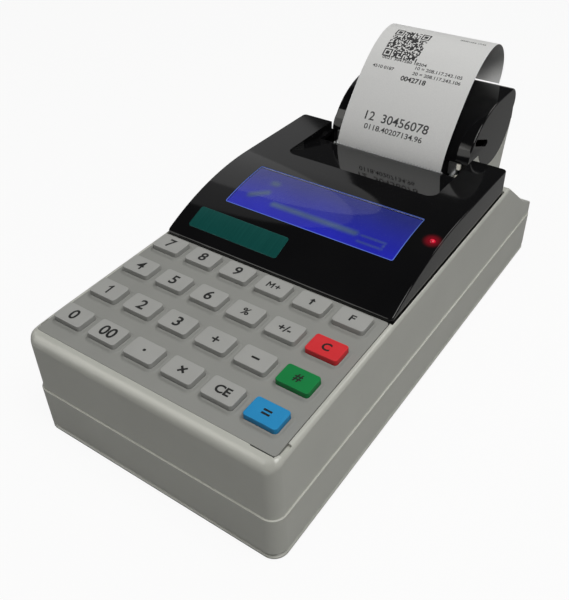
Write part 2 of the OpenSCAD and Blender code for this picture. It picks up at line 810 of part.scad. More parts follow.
module battery_pack() place() {
    color([0.16, 0.3, 0.62]) translate([0, battery_front + battery[1] / 2, floor_z])
        linear_extrude(height = battery[2]) rounded_rect([battery[0] - 1, battery[1] - 1], 3);
}

module battery_door() place() {
    color(case_grey) difference() {
        union() {
            slab(-door_half, door_half, door_front, case_l, foot_h, foot_h + door_t);
            mirrored_x() slab(door_half - 0.5, door_half + 1.1, door_front, case_l - 6, 1.65, 2.35);
        }
        for (i = [0 : 4]) slab(-9, 9, 224 + 2 * i, 225 + 2 * i, 0, foot_h + 0.5);
    }
}

module ribbon_cables() place() {
    display = bezier([111, 55.2], [100, 50], [96, 14], [108, 9.4], 12);
    keypad = bezier([58, 43.4], [58, 28], [84, 26], [80, 9.4], 12);
    head = bezier([174.5, 48], [166, 48], [150, 34], [142, 9.4], 12);
    color([0.8, 0.8, 0.76]) {
        translate([-12, 0, 0]) ribbon(display, 18);
        translate([14, 0, 0]) ribbon(keypad, 16);
        translate([-8, 0, 0]) ribbon(head, 20);
    }
}

module ribbon(path, width) {
    along_x(width) polygon(concat(beside(path, 0.15), reversed(beside(path, -0.15))));
}

module case_screws() place() {
    color(steel) mirrored_x() for (p = screw_at) translate([p[0], p[1], 0]) difference() {
        union() {
            translate([0, 0, 3]) cylinder(r = 2.7, h = 2.1);
            translate([0, 0, 5]) cylinder(r = screw_r, h = 26);
        }
        for (a = [0, 90]) rotate(a) slab(-1.8, 1.8, -0.35, 0.35, 2, 4);
    }
}

module rubber_feet() place() {
    color([0.1, 0.1, 0.1]) mirrored_x() for (p = foot_at)
        translate([p[0], p[1], 0]) cylinder(r = foot_r, h = foot_h + 0.9);
}

lower_case();
upper_case();
keypad_mat();
keypad_board();
key_0();
key_00();
key_point();
key_times();
key_clear();
key_blue();
key_1();
key_2();
key_3();
key_plus();
key_minus();
key_green();
key_4();
key_5();
key_6();
key_percent();
key_change();
key_red();
key_7();
key_8();
key_9();
key_memory();
key_up();
key_mode();
display_cover();
display_window();
display_panel();
display_board();
badge_plate();
status_lamp();
tear_bar();
roll_lid();
hinge_pin();
roll_bin();
paper_roll();
roll_core();
receipt();
printer_frame();
print_head();
head_spring();
platen_roller();
platen_gear();
idler_gear();
idler_pin();
step_motor();
motor_pinion();
main_board();
memory_block();
beeper();
power_jack();
data_port();
battery_pack();
battery_door();
ribbon_cables();
case_screws();
rubber_feet();
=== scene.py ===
# %% [markdown]
# A portable ticket register, dressed for a picture. The moving parts, their sizes and their
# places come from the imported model, so this lesson only decides how each piece looks: its
# soft edges, its printed signs and its finish. Lengths are written in millimetres from the
# front lip, as on a drawing, and turned into metres in one place.

# %% Load the frame
import bpy
import bmesh
import json
import math
import random
from contextlib import contextmanager
from mathutils import Matrix, Vector


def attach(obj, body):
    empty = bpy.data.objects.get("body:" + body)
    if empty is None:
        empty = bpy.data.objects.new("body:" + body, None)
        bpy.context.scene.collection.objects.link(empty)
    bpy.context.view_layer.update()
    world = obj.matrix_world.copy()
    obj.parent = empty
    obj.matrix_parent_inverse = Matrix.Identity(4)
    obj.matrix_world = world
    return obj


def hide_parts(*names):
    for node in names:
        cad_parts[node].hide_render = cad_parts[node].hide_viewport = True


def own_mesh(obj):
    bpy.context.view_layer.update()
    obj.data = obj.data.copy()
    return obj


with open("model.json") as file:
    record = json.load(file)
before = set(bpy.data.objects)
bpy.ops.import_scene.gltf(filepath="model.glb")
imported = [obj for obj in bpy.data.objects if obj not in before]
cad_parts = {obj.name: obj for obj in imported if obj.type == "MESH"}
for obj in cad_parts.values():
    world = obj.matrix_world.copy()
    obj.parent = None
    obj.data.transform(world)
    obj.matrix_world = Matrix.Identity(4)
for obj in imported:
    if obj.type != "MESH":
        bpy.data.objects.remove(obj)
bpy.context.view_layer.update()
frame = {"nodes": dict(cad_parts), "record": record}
parts = frame["nodes"]
MM = 0.001
HALF_LENGTH = 122.55
SLOT_OF = {row["node"]: row["material_slot"] for row in frame["record"]["subparts"]}
BODY_OF = {node: body for body, members in frame["record"]["behaviour"]["bodies"].items()
           for node in members}
print("nodes", len(parts), "slots", sorted(set(SLOT_OF.values())))

# %% [markdown]
# The camera comes first. It looks down over the front right corner of the case, from about
# 37 degrees above the table. The small lens shift only frames the object in the picture;
# it doesn't change the perspective.

# %% Camera
def from_front(x, y, z):
    """A place in millimetres from the front lip, as a vector of the shared frame."""
    return Vector((x, y - HALF_LENGTH, z)) * MM

FRONT_LIP = from_front(0, 0, 0)

eye = bpy.data.objects.new("camera", bpy.data.cameras.new("camera"))
bpy.context.scene.collection.objects.link(eye)
right, up, back = (0.83237, 0.55420, -0.00476), (-0.33464, 0.50941, 0.79279), (0.44179, -0.65830, 0.60948)
turn = Matrix((right, up, back)).transposed().to_4x4()
eye.matrix_world = Matrix.Translation((0.14655, -0.23305, 0.23085)) @ turn
eye.data.lens = 43.5
eye.data.sensor_width = 36
eye.data.shift_x = -0.03955
eye.data.shift_y = -0.02367
eye.data.clip_start = 0.01
bpy.context.scene.camera = eye
print("camera at", [round(v, 3) for v in eye.location])

# %% [markdown]
# The world, the table and all finishes are trees of nodes. One helper adds a node and fills
# its inputs, with plain values or with the outputs of other nodes, so that a tree reads like
# a formula. Another makes the two-colour ramp that most patterns end in.

# %% Node helpers
def plug(tree, value, socket):
    """Links an output to a socket, or sets the socket to a plain value."""
    if isinstance(value, bpy.types.NodeSocket):
        tree.links.new(value, socket)
    else:
        socket.default_value = value

def fill(tree, node, **settings):
    """Sets up a node. A name with a capital is one of its inputs, and any other a property."""
    for name, value in settings.items():
        if name[0].isupper():
            plug(tree, value, node.inputs[name.replace("_", " ")])
        else:
            setattr(node, name, value)
    return node

def add_node(tree, kind, *plugs, **settings):
    """Adds a node whose first inputs take the plugs in their order."""
    node = fill(tree, tree.nodes.new("ShaderNode" + kind), **settings)
    for value, socket in zip(plugs, node.inputs):
        plug(tree, value, socket)
    return node

def shades(tree, factor, low, high, start=0.35, end=0.65):
    """Turns a 0-1 pattern into two shades."""
    ramp = add_node(tree, "ValToRGB", factor)
    for stop, place, colour in zip(ramp.color_ramp.elements, (start, end), (low, high)):
        stop.position = place
        stop.color = (*colour, 1)
    return ramp.outputs["Color"]

print("node helpers are ready")

# %% [markdown]
# The object stands on a white table in a white room. The world is white for the camera, near
# black overhead for reflections, so that the polished cover stays dark, and dim for the rest.
# The table shows white to the camera too, keeps the object's shadow, and gives less light
# back to the object than it seems to.

# %% World and table
def make_world():
    world = bpy.data.worlds.new("studio")
    bpy.context.scene.world = world
    world.use_nodes = True
    tree = world.node_tree
    tree.nodes.clear()
    path = add_node(tree, "LightPath").outputs
    split = add_node(tree, "SeparateXYZ", add_node(tree, "TexCoord").outputs["Generated"])
    sky = shades(tree, split.outputs["Z"], (0.9, 0.9, 0.9), (0.03, 0.03, 0.03), 0.03, 0.16)
    soft = add_node(tree, "Background", (0.97, 0.98, 1.0, 1), 0.03)
    mirror = add_node(tree, "Background", sky)
    white = add_node(tree, "Background", (1, 1, 1, 1), 1.0)
    shine = add_node(tree, "MixShader", path["Is Glossy Ray"], soft.outputs[0], mirror.outputs[0])
    front = add_node(tree, "MixShader", path["Is Camera Ray"], shine.outputs[0], white.outputs[0])
    add_node(tree, "OutputWorld", front.outputs[0])

def make_table():
    bpy.ops.object.select_all(action="DESELECT")
    bpy.ops.mesh.primitive_circle_add(vertices=96, radius=7, fill_type="NGON", location=(0, 0, -0.0002))
    floor = bpy.context.object
    floor.name = "floor"
    paint = bpy.data.materials.new("white_table")
    paint.use_nodes = True
    tree = paint.node_tree
    path = add_node(tree, "LightPath").outputs
    seen = add_node(tree, "Math", path["Is Camera Ray"], path["Is Transmission Ray"], operation="MAXIMUM")
    white = add_node(tree, "Math", seen.outputs[0], 0.38, 0.44, operation="MULTIPLY_ADD").outputs[0]
    dim = add_node(tree, "Math", path["Is Glossy Ray"], -0.03, white, operation="MULTIPLY_ADD").outputs[0]
    matt = fill(tree, tree.nodes["Principled BSDF"], Base_Color=dim, Roughness=0.9, Specular_IOR_Level=0.0)
    glow = add_node(tree, "Emission", (1, 1, 1, 1))
    share = add_node(tree, "Math", seen.outputs[0], 0.92, operation="MULTIPLY").outputs[0]
    blend = add_node(tree, "MixShader", share, matt.outputs[0], glow.outputs[0])
    plug(tree, blend.outputs[0], tree.nodes["Material Output"].inputs["Surface"])
    floor.data.materials.append(paint)

make_world()
make_table()
bpy.context.scene.view_settings.view_transform = "Standard"
print("world and table")

# %% [markdown]
# Two large soft lamps light the object, as small goods are lit in a studio. One hangs high on
# the right and one straight above, so the top and the lip of the seam are bright, the right
# wall is grey and the front wall stays in shade, which a weak lamp on the left fills. Four
# more lamps only show in glossy reflections: two draw a soft line along the rounded front
# and right edges, and two at the rear left leave a haze on the cover and its window.

# %% Lamps
def add_lamp(name, place, aim, size, power, tint, shows):
    """A round soft lamp that looks at a point above the middle of the table."""
    lamp = bpy.data.objects.new(name, bpy.data.lights.new(name, "AREA"))
    bpy.context.scene.collection.objects.link(lamp)
    lamp.data.shape = "DISK"
    lamp.data.size = size
    lamp.data.energy = power
    lamp.data.color = tint
    lamp.location = place
    lamp.rotation_euler = (Vector((0, 0, aim)) - Vector(place)).to_track_quat("-Z", "Y").to_euler()
    lamp.visible_diffuse, lamp.visible_glossy = shows != "gloss", shows != "light"
    lamp.visible_transmission = False

for row in (("lamp_over", (0.457, -0.163, 1.009), 0.03, 0.7, 6.6, (1.0, 0.995, 0.975), "both"),
            ("lamp_top", (0.0, 0.1, 1.1), 0.03, 1.5, 3.6, (1.0, 0.995, 0.975), "light"),
            ("lamp_left", (-0.475, -0.66, 0.744), 0.03, 0.42, 0.5, (1.0, 0.99, 0.95), "both"),
            ("shine_left", (-0.62, -0.73, 0.55), 0.03, 0.8, 2.6, (1.0, 0.99, 0.95), "gloss"),
            ("shine_soft", (-0.79, 0.484, 0.763), 0.06, 0.79, 0.45, (1, 1, 1), "gloss"),
            ("shine_near", (-0.70, 0.68, 0.72), 0.06, 0.62, 0.42, (1, 1, 1), "gloss"),
            ("shine_rear", (0.38, 0.69, 0.78), 0.03, 0.5, 1.6, (1.0, 0.99, 0.97), "gloss")):
    add_lamp(*row)

# %% [markdown]
# Every finish is a node material. A moulded plastic is never one flat colour: soft clouds
# shift it between two near shades, and a fine noise in the bump gives the spark-eroded grain
# that hides fingermarks. One helper makes that recipe, and the finishes differ in its numbers.
# Patterns are laid on Object coordinates, in metres, because every piece sits at the origin.

# %% Recipes for finishes
PAINTS = {}

def new_paint(name):
    paint = bpy.data.materials.new(name)
    paint.use_nodes = True
    PAINTS[name] = paint
    return paint, paint.node_tree, paint.node_tree.nodes["Principled BSDF"]

def object_place(tree, scale=(1, 1, 1), turned=(0, 0, 0)):
    """Object coordinates, stretched and turned: the start of a pattern."""
    place = add_node(tree, "TexCoord").outputs["Object"]
    return add_node(tree, "Mapping", place, Scale=scale, Rotation=turned).outputs["Vector"]

def clouds(tree, vector, scale, detail=3, rough=0.5):
    noise = add_node(tree, "TexNoise", Scale=scale, Detail=detail, Roughness=rough, Vector=vector)
    return noise.outputs["Fac"]

def spread(tree, factor, low, high):
    """Turns a 0-1 pattern into a range of numbers."""
    return add_node(tree, "MapRange", factor, To_Min=low, To_Max=high).outputs["Result"]

def relief(tree, height, depth):
    return add_node(tree, "Bump", Strength=1.0, Distance=depth, Height=height).outputs["Normal"]

def moulded(name, low, high, rough, grain=1500, depth=0.00002, drift=35, **sockets):
    """A moulded plastic: two close shades, uneven gloss and a fine grain."""
    paint, tree, shader = new_paint(name)
    vector = object_place(tree)
    broad = clouds(tree, vector, drift)
    fill(tree, shader, Base_Color=shades(tree, broad, low, high, 0.2, 0.8),
         Roughness=spread(tree, broad, *rough),
         Normal=relief(tree, clouds(tree, vector, grain, 2), depth), **sockets)
    return paint

def brushed(name, low, high, rough, stretch=(60, 60, 2500), depth=0.000004, metal=1.0):
    """A drawn or rolled metal: a noise pulled long along one axis."""
    paint, tree, shader = new_paint(name)
    lines = clouds(tree, object_place(tree, stretch), 1.0, 4, 0.6)
    fill(tree, shader, Base_Color=shades(tree, lines, low, high, 0.2, 0.8),
         Roughness=spread(tree, lines, *rough), Normal=relief(tree, lines, depth), Metallic=metal)

print("recipes for finishes are ready")

# %% [markdown]
# The two case halves are warm grey ABS with a satin grain, even in its gloss. The mat and
# keys are silicone, which is a touch cooler and has no gloss at all; the three command keys
# are pigmented silicone. The cover and the paper lid are one polished black acrylic, whose
# only detail is faint handling haze in its gloss. Steel and brass are for the printer inside.

# %% Plastics and metals
SILICONE = ((0.42, 0.52), 2400, 0.000012, 90)
moulded("case", (0.545, 0.55, 0.505), (0.60, 0.605, 0.555), (0.28, 0.29), 1300,
        Specular_IOR_Level=0.75)
moulded("mat", (0.284, 0.287, 0.272), (0.304, 0.307, 0.291), (0.66, 0.76), 2200, 0.000015, 60)
moulded("key", (0.385, 0.387, 0.374), (0.415, 0.417, 0.404), (0.52, 0.62), 2400, 0.000012, 90)
moulded("blue_key", (0.012, 0.265, 0.590), (0.018, 0.305, 0.640), *SILICONE, Specular_IOR_Level=0.3)
moulded("green_key", (0.0005, 0.215, 0.047), (0.001, 0.248, 0.058), *SILICONE, Specular_IOR_Level=0.3)
moulded("red_key", (0.700, 0.022, 0.030), (0.780, 0.034, 0.042), *SILICONE, Specular_IOR_Level=0.3)
moulded("gloss_black", (0.0035, 0.0035, 0.0040), (0.0070, 0.0070, 0.0075), (0.035, 0.10), 500, 0.000002, 22,
        IOR=1.43)
moulded("dark_plastic", (0.018, 0.018, 0.020), (0.030, 0.030, 0.032), (0.45, 0.6), 1200, 0.00003)
moulded("black_rubber", (0.012, 0.012, 0.013), (0.024, 0.024, 0.025), (0.75, 0.9), 1800, 0.00004)
moulded("gear_plastic", (0.70, 0.68, 0.60), (0.78, 0.76, 0.69), (0.38, 0.5), 900, 0.00001)
moulded("ceramic", (0.62, 0.58, 0.50), (0.72, 0.69, 0.62), (0.18, 0.32), 700, 0.000006)
moulded("battery", (0.020, 0.075, 0.300), (0.035, 0.110, 0.380), (0.22, 0.38), 160, 0.00025, 45)
moulded("key_ink", (0.004, 0.004, 0.004), (0.008, 0.008, 0.008), (0.45, 0.6), 2600, 0.00001)
brushed("steel", (0.50, 0.51, 0.52), (0.66, 0.67, 0.68), (0.22, 0.38))
brushed("brass", (0.60, 0.42, 0.16), (0.76, 0.56, 0.25), (0.2, 0.34))
print("finishes so far", len(PAINTS))

# %% [markdown]
# Paper is brighter and rougher than plastic, with tiny fibres in its relief and a little
# light passing through. The cardboard core is wound from brown strip at an angle, which a
# turned wave pattern shows as a spiral joint. The print is thermal ink, which is nearly black.

# %% Paper and card
def paper_paint():
    _, tree, shader = new_paint("paper")
    fibres = clouds(tree, object_place(tree, (1, 1, 0.35)), 2600, 5, 0.65)
    fill(tree, shader, Base_Color=shades(tree, fibres, (0.73, 0.735, 0.735), (0.79, 0.79, 0.785)),
         Roughness=0.62, Subsurface_Weight=0.08, Subsurface_Radius=(0.0003, 0.0003, 0.0003),
         Normal=relief(tree, fibres, 0.00001))

def card_paint():
    _, tree, shader = new_paint("core")
    place = object_place(tree, (1, 1, 1), (0, 0.5, 0))
    wound = add_node(tree, "TexWave", place, Scale=40, Distortion=1.5).outputs["Fac"]
    fill(tree, shader, Base_Color=shades(tree, wound, (0.30, 0.19, 0.10), (0.42, 0.29, 0.17), 0.0, 0.2),
         Roughness=0.8, Normal=relief(tree, wound, 0.00003))

paper_paint()
card_paint()
moulded("print_ink", (0.020, 0.020, 0.022), (0.050, 0.050, 0.052), (0.55, 0.7), 3000, 0.000004)
print("paper, card and thermal ink")

# %% [markdown]
# A printed circuit board is green lacquer over copper tracks. A brick pattern turned on its
# side, broken up by a noise, reads as runs of parallel tracks, and it lifts the lacquer a
# little where copper lies under it. A ribbon cable is many thin cores side by side, so a
# fine wave across its width gives the ribs.

# %% Boards and ribbons
def board_paint():
    _, tree, shader = new_paint("circuit_board")
    vector = object_place(tree)
    tracks = add_node(tree, "TexBrick", vector, Scale=220, Brick_Width=3.5, Row_Height=0.25, Mortar_Size=0.12,
                      Color1=(0.010, 0.100, 0.040, 1), Color2=(0.014, 0.130, 0.052, 1),
                      Mortar=(0.030, 0.230, 0.090, 1))
    fill(tree, shader, Base_Color=tracks.outputs["Color"], Normal=relief(tree, tracks.outputs["Fac"], 0.00004),
         Roughness=spread(tree, clouds(tree, vector, 60), 0.25, 0.4))

def ribbon_paint():
    _, tree, shader = new_paint("cable")
    ribs = add_node(tree, "TexWave", object_place(tree), Scale=160, bands_direction="X").outputs["Fac"]
    fill(tree, shader, Base_Color=shades(tree, ribs, (0.42, 0.42, 0.40), (0.66, 0.66, 0.63), 0.1, 0.6),
         Roughness=0.45, Normal=relief(tree, ribs, 0.0002))

board_paint()
ribbon_paint()
print("board and ribbon cable")

# %% [markdown]
# The display is a blue back-lit panel behind a tinted window. Its light comes from the
# material itself: an uneven blue glow, brighter towards the user. Liquid crystal shapes have
# no sharp edge behind the pane, so the marks take the same glow and fade into it through a
# number stored on their corners. The window is clear acrylic with a violet cast.

# %% Display and window
def mixed(tree, factor, one, two, mode="MIX"):
    return add_node(tree, "MixRGB", factor, one, two, blend_type=mode).outputs[0]

def glow_paint(name, front, rear, mark=None):
    """A back-lit panel: brighter at the front than at the rear, with marks that fade in by an attribute."""
    _, tree, shader = new_paint(name)
    place = add_node(tree, "TexCoord").outputs["Object"]
    split = add_node(tree, "SeparateXYZ", place).outputs
    depth = add_node(tree, "MapRange", split["Y"], -0.020, 0.006).outputs["Result"]
    cloudy = clouds(tree, object_place(tree), 55)
    uneven = shades(tree, cloudy, (0.82, 0.82, 0.86), (1.12, 1.10, 1.06), 0.3, 0.7)
    glow = mixed(tree, 1.0, shades(tree, depth, front, rear, 0.0, 1.0), uneven, "MULTIPLY")
    if mark:
        fade = add_node(tree, "Attribute", attribute_name="fade").outputs["Fac"]
        ink = shades(tree, clouds(tree, object_place(tree), 90, 2), mark, [1.3 * v for v in mark])
        glow = mixed(tree, fade, glow, ink)
    fill(tree, shader, Base_Color=(0.01, 0.01, 0.02, 1), Roughness=0.35, Specular_IOR_Level=0.0,
         Emission_Color=glow, Emission_Strength=1.0)

def window_paint():
    _, tree, shader = new_paint("window")
    haze = clouds(tree, object_place(tree), 40)
    fill(tree, shader, Base_Color=shades(tree, haze, (0.78, 0.78, 0.98), (0.88, 0.88, 1.0)),
         Roughness=spread(tree, haze, 0.015, 0.05), Transmission_Weight=1.0, IOR=1.46)

GLOW = (0.020, 0.024, 0.46), (0.026, 0.034, 0.20)
glow_paint("display", *GLOW)
glow_paint("display_mark", *GLOW, mark=(0.065, 0.110, 0.165))
# The line round the window's border glows too, though it is no lamp: painted light along the window's edge.
glow_paint("window_edge_glow", (0.10, 0.17, 0.62), (0.06, 0.11, 0.34))
window_paint()
print("display and window")

# %% [markdown]
# The lamp is a red lens that is brightest at its centre and spills on the cover round it. The
# distance from the lamp makes both, with no light source of its own: the lens and the
# cover's black each get a glow that fades with it. The badge is a teal metal plate, left bare.

# %% Lamp and badge
LAMP_X, LAMP_Y = 52.8, 119.4

def spill(paint, centre, far, near, colour, rest=(0, 0, 0)):
    """Adds a glow that fades with the distance from a point."""
    tree = paint.node_tree
    place = add_node(tree, "TexCoord").outputs["Object"]
    away = add_node(tree, "VectorMath", place, centre, operation="DISTANCE").outputs["Value"]
    fade = add_node(tree, "MapRange", away, far, near, interpolation_type="SMOOTHERSTEP").outputs["Result"]
    fill(tree, tree.nodes["Principled BSDF"], Emission_Color=shades(tree, fade, rest, colour, 0.0, 1.0),
         Emission_Strength=1.0)

def lamp_paints(x, y, z):
    """The red lens, bright at its centre, and a copy of the cover's black with light spilt round it."""
    black = PAINTS["gloss_black"].copy()
    black.name = "cover_black"
    PAINTS["cover_black"] = black
    spill(black, from_front(x, y, z), 0.0050, 0.0010, (0.16, 0.001, 0.007))
    red = moulded("lamp", (0.16, 0.001, 0.006), (0.22, 0.002, 0.009), (0.12, 0.2), 900, 0.00001)
    spill(red, from_front(x + 0.4, y, z), 0.0019, 0.0004, (0.62, 0.008, 0.035), (0.04, 0.0004, 0.002))

lamp_paints(LAMP_X, LAMP_Y, 66.5)
brushed("badge", (0.003, 0.085, 0.076), (0.007, 0.118, 0.104), (0.20, 0.30), (2500, 50, 50), 0.000002, 0.35)
print("all finishes", sorted(PAINTS))

# %% [markdown]
# Now the finishes go on. Each CAD node already names its material slot in the record, so one
# loop dresses every piece, also the ones inside that only show when the case is open.

# %% Dress the frame
for node, piece in parts.items():
    piece.data.materials.clear()
    piece.data.materials.append(PAINTS[SLOT_OF[node]])
print("dressed", len(parts), "pieces")

# %% [markdown]
# The visible pieces are modelled again by hand on top of the solids, where soft edges and
# printed signs matter. The helpers below are the moves of a modeller. The first ones choose
# what an operator works on: everything is deselected before each move, and faces or edges
# are then picked by their place or direction.

# %% Choosing
def clear():
    if bpy.context.mode != "OBJECT":
        bpy.ops.object.mode_set(mode="OBJECT")
    bpy.ops.object.select_all(action="DESELECT")

def activate(piece):
    clear()
    piece.select_set(True)
    bpy.context.view_layer.objects.active = piece

@contextmanager
def editing(piece, kind="FACE"):
    activate(piece)
    bpy.ops.object.mode_set(mode="EDIT")
    bpy.ops.mesh.select_mode(type=kind)
    bpy.ops.mesh.select_all(action="DESELECT")
    yield
    bpy.ops.object.mode_set(mode="OBJECT")

def everything():
    bpy.ops.mesh.select_all(action="SELECT")

def pick(group, test):
    """Selects only the faces, edges or vertices that pass the test."""
    bpy.ops.mesh.select_all(action="DESELECT")
    mesh = bmesh.from_edit_mesh(bpy.context.object.data)
    for item in getattr(mesh, group):
        if test(item):
            item.select_set(True)
    bmesh.update_edit_mesh(bpy.context.object.data)

def middle(edge):
    return (edge.verts[0].co + edge.verts[1].co) / 2

def runs_along(edge, axis):
    span = edge.verts[1].co - edge.verts[0].co
    return abs(span[axis]) > 0.999 * span.length

def faces_up(face):
    return face.normal.z > 0.9

def faces_down(face):
    return face.normal.z < -0.9

print("helpers for choosing are ready")

# %% [markdown]
# The next helpers move and reshape: extrude what is selected, fix an object's place in its
# mesh, copy it, join several, run a modifier to its end, and cut or weld with a second shape.
# Each modifier is applied at once, so the next move starts from real corners.

# %% Moving and shaping
def pull(along):
    bpy.ops.mesh.extrude_region_move(TRANSFORM_OT_translate={"value": along})

def round_off(offset, segments, **options):
    """Bevels the selected edges, with a width in millimetres."""
    bpy.ops.mesh.bevel(offset=offset * MM, segments=segments, affect="EDGES", **options)

def bake_place(piece):
    activate(piece)
    bpy.ops.object.transform_apply(location=True, rotation=True, scale=True)
    return piece

def twin_of(piece):
    twin = piece.copy()
    twin.data = piece.data.copy()
    bpy.context.scene.collection.objects.link(twin)
    return twin

def join(pieces):
    """Joins pieces into the first of them."""
    clear()
    for piece in pieces:
        piece.select_set(True)
    bpy.context.view_layer.objects.active = pieces[0]
    bpy.ops.object.join()
    return bpy.context.object

def modify(piece, kind, **settings):
    """Adds a modifier, sets it up and applies it."""
    step = piece.modifiers.new("step", kind)
    for name, value in settings.items():
        setattr(step, name, value)
    activate(piece)
    for modifier in list(piece.modifiers):
        bpy.ops.object.modifier_apply(modifier=modifier.name)
    return piece

def combine(piece, tool, operation):
    modify(piece, "BOOLEAN", operation=operation, solver="EXACT", object=tool)
    bpy.data.objects.remove(tool)
    return piece

def cut(piece, tool):
    return combine(piece, tool, "DIFFERENCE")

def weld(piece, tool):
    return combine(piece, tool, "UNION")

def face_out(piece):
    with editing(piece):
        everything()
        bpy.ops.mesh.normals_make_consistent(inside=False)
    return piece

def soften(piece, width, segments=2, angle=30):
    """Rounds every edge that is sharper than the angle."""
    return modify(piece, "BEVEL", width=width * MM, segments=segments, limit_method="ANGLE",
                  angle_limit=math.radians(angle), use_clamp_overlap=True)

print("helpers for shaping are ready")

# %% [markdown]
# Most pieces of a moulded machine start as an outline, drawn from the side or from above, and
# pulled to its width or height. An outline is traced corner by corner with extruded vertices.
# Arcs and rounded rectangles are lists of such corners.

# %% Blocks and outlines
def block(name, low, high):
    """A box between two corners, in millimetres from the front lip."""
    clear()
    low, high = from_front(*low), from_front(*high)
    bpy.ops.mesh.primitive_cube_add(size=1, location=(low + high) / 2, scale=high - low)
    bpy.context.object.name = name
    return bake_place(bpy.context.object)

def trace(name, points):
    """A flat face, drawn point by point with extruded vertices."""
    clear()
    bpy.ops.mesh.primitive_plane_add(size=MM, location=points[0])
    piece = bake_place(bpy.context.object)
    piece.name = name
    with editing(piece, "VERT"):
        everything()
        bpy.ops.mesh.merge(type="CENTER")
        for start, end in zip(points, points[1:]):
            bpy.ops.mesh.extrude_vertices_move(TRANSFORM_OT_translate={"value": end - start})
        everything()
        bpy.ops.mesh.edge_face_add()
    return piece

def prism(name, points, along):
    """An outline pulled along a vector."""
    piece = trace(name, points)
    with editing(piece):
        everything()
        pull(along)
    return face_out(piece)

def side_prism(name, outline, x0, x1):
    """An outline of the Y-Z plane pulled across the width."""
    return prism(name, [from_front(x0, y, z) for y, z in outline], Vector(((x1 - x0) * MM, 0, 0)))

def plan_prism(name, outline, z0, z1):
    """An outline of the X-Y plane pulled upwards."""
    return prism(name, [from_front(x, y, z0) for x, y in outline], Vector((0, 0, (z1 - z0) * MM)))

def arc(centre, radius, start, end, steps=8):
    turns = [math.radians(start + (end - start) * i / steps) for i in range(steps + 1)]
    return [(centre[0] + radius * math.cos(a), centre[1] + radius * math.sin(a)) for a in turns]

def circle(x, y, radius, corners=12):
    return arc((x, y), radius, 0, 360 - 360 / corners, corners - 1)

def rounded(x0, x1, y0, y1, radius, steps=6):
    """A rectangle with rounded corners."""
    left, right, front, rear = x0 + radius, x1 - radius, y0 + radius, y1 - radius
    return (arc((right, rear), radius, 0, 90, steps) + arc((left, rear), radius, 90, 180, steps)
            + arc((left, front), radius, 180, 270, steps) + arc((right, front), radius, 270, 360, steps))

def mirrored_spans(near, far):
    """The range from near to far on the right side, and the same on the left, as low and high."""
    return [sorted((side * near, side * far)) for side in (-1, 1)]

print("helpers for outlines are ready")

# %% [markdown]
# A finished piece is smoothed, but its wide faces stay flat, because weighted normals give
# them the say over the small roundings beside them. Then it rides on the body that carries
# it, is given its slot, and stands for the CAD node that it replaces.

# %% Handing over
def settle(piece, body):
    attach(piece, body)
    print(piece.name, len(piece.data.polygons), "faces")

def hand_over(piece, node, angle=40):
    """Smooths and paints a finished piece and lets it stand for its CAD node."""
    activate(piece)
    bpy.ops.object.shade_smooth_by_angle(angle=math.radians(angle))
    modify(piece, "WEIGHTED_NORMAL", keep_sharp=True)
    if not piece.data.materials:
        piece.data.materials.append(PAINTS[SLOT_OF[node]])
    settle(piece, BODY_OF[node])
    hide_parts(node)

print("hand-over is ready")

# %% [markdown]
# The keypad plane climbs gently towards the display, so mat and keys are modelled flat and
# then laid on that slope in one move.

# %% The keypad plane
RIM_Z, TILT = 50.1, math.radians(1.8)
KEY_W, KEY_D, KEY_R, PITCH, KEY_RISE = 13.0, 8.6, 1.2, 18.2, 3.2
CAP_W, CAP_D, CAP_FOOT = 13.8, 9.3, 0.9

def key_place(column, row):
    return (column - 2.5) * PITCH - 1.0, 12.6 + KEY_D / 2 + row * PITCH

def lay_on(piece, corner, tilt):
    """Moves a flat drawing, whose zero is the front lip, to a corner and tilts it there about X."""
    activate(piece)
    slope = Matrix.Translation(corner) @ Matrix.Rotation(tilt, 4, "X")
    piece.matrix_world = slope @ Matrix.Translation(-FRONT_LIP) @ piece.matrix_world
    return bake_place(piece)

def lay_on_rim(piece):
    """Lays a flat drawing, whose height zero is the rim, on the keypad plane."""
    return lay_on(piece, from_front(0, 0, RIM_Z), TILT)

print("first key at", key_place(0, 0))

# %% [markdown]
# One key is modelled and copied 24 times. It starts as the block of its cap: the upright
# edges are rounded and the rim of the top gets a fine rounding. The bottom face is then set
# in and drawn down as the stem, out into the flange that keeps the key in the case, and down
# to the plunger that presses the contact.

# %% One key
def draw_down(centre, steps):
    """Extrudes the selected face once for each pair of a drop and a scale."""
    for drop, scale in steps:
        pull((0, 0, -drop * MM))
        bpy.ops.transform.resize(value=scale, center_override=centre)

def make_key():
    key = block("key_pattern", (-CAP_W / 2, -CAP_D / 2, CAP_FOOT), (CAP_W / 2, CAP_D / 2, KEY_RISE))
    same, stem, flange = (1, 1, 1), (KEY_W / CAP_W, KEY_D / CAP_D, 1), (1 + 2 / KEY_W, 1 + 2 / KEY_D, 1)
    plunger = (0.26, 0.36, 1)
    with editing(key, "EDGE"):
        pick("edges", lambda e: runs_along(e, 2))
        round_off(KEY_R, 6)
        bpy.ops.mesh.select_mode(type="FACE")
        pick("faces", faces_up)
        round_off(0.3, 3)
        pick("faces", faces_down)
        draw_down(FRONT_LIP, ((0, stem), (4.7, same), (0, flange), (0.8, same), (0, plunger), (0.7, same)))
    return face_out(key)

key_pattern = make_key()
print("key pattern", len(key_pattern.data.polygons), "faces")

# %% [markdown]
# The signs on the keys are only numbers and arithmetic signs. A text object is turned into
# a mesh and centred. Signs that the font draws too thin, such as plus, minus and the arrow,
# are traced from their corners instead.

# %% Signs
CAPITAL = 0.729   # height of a capital in the built-in font, at size one

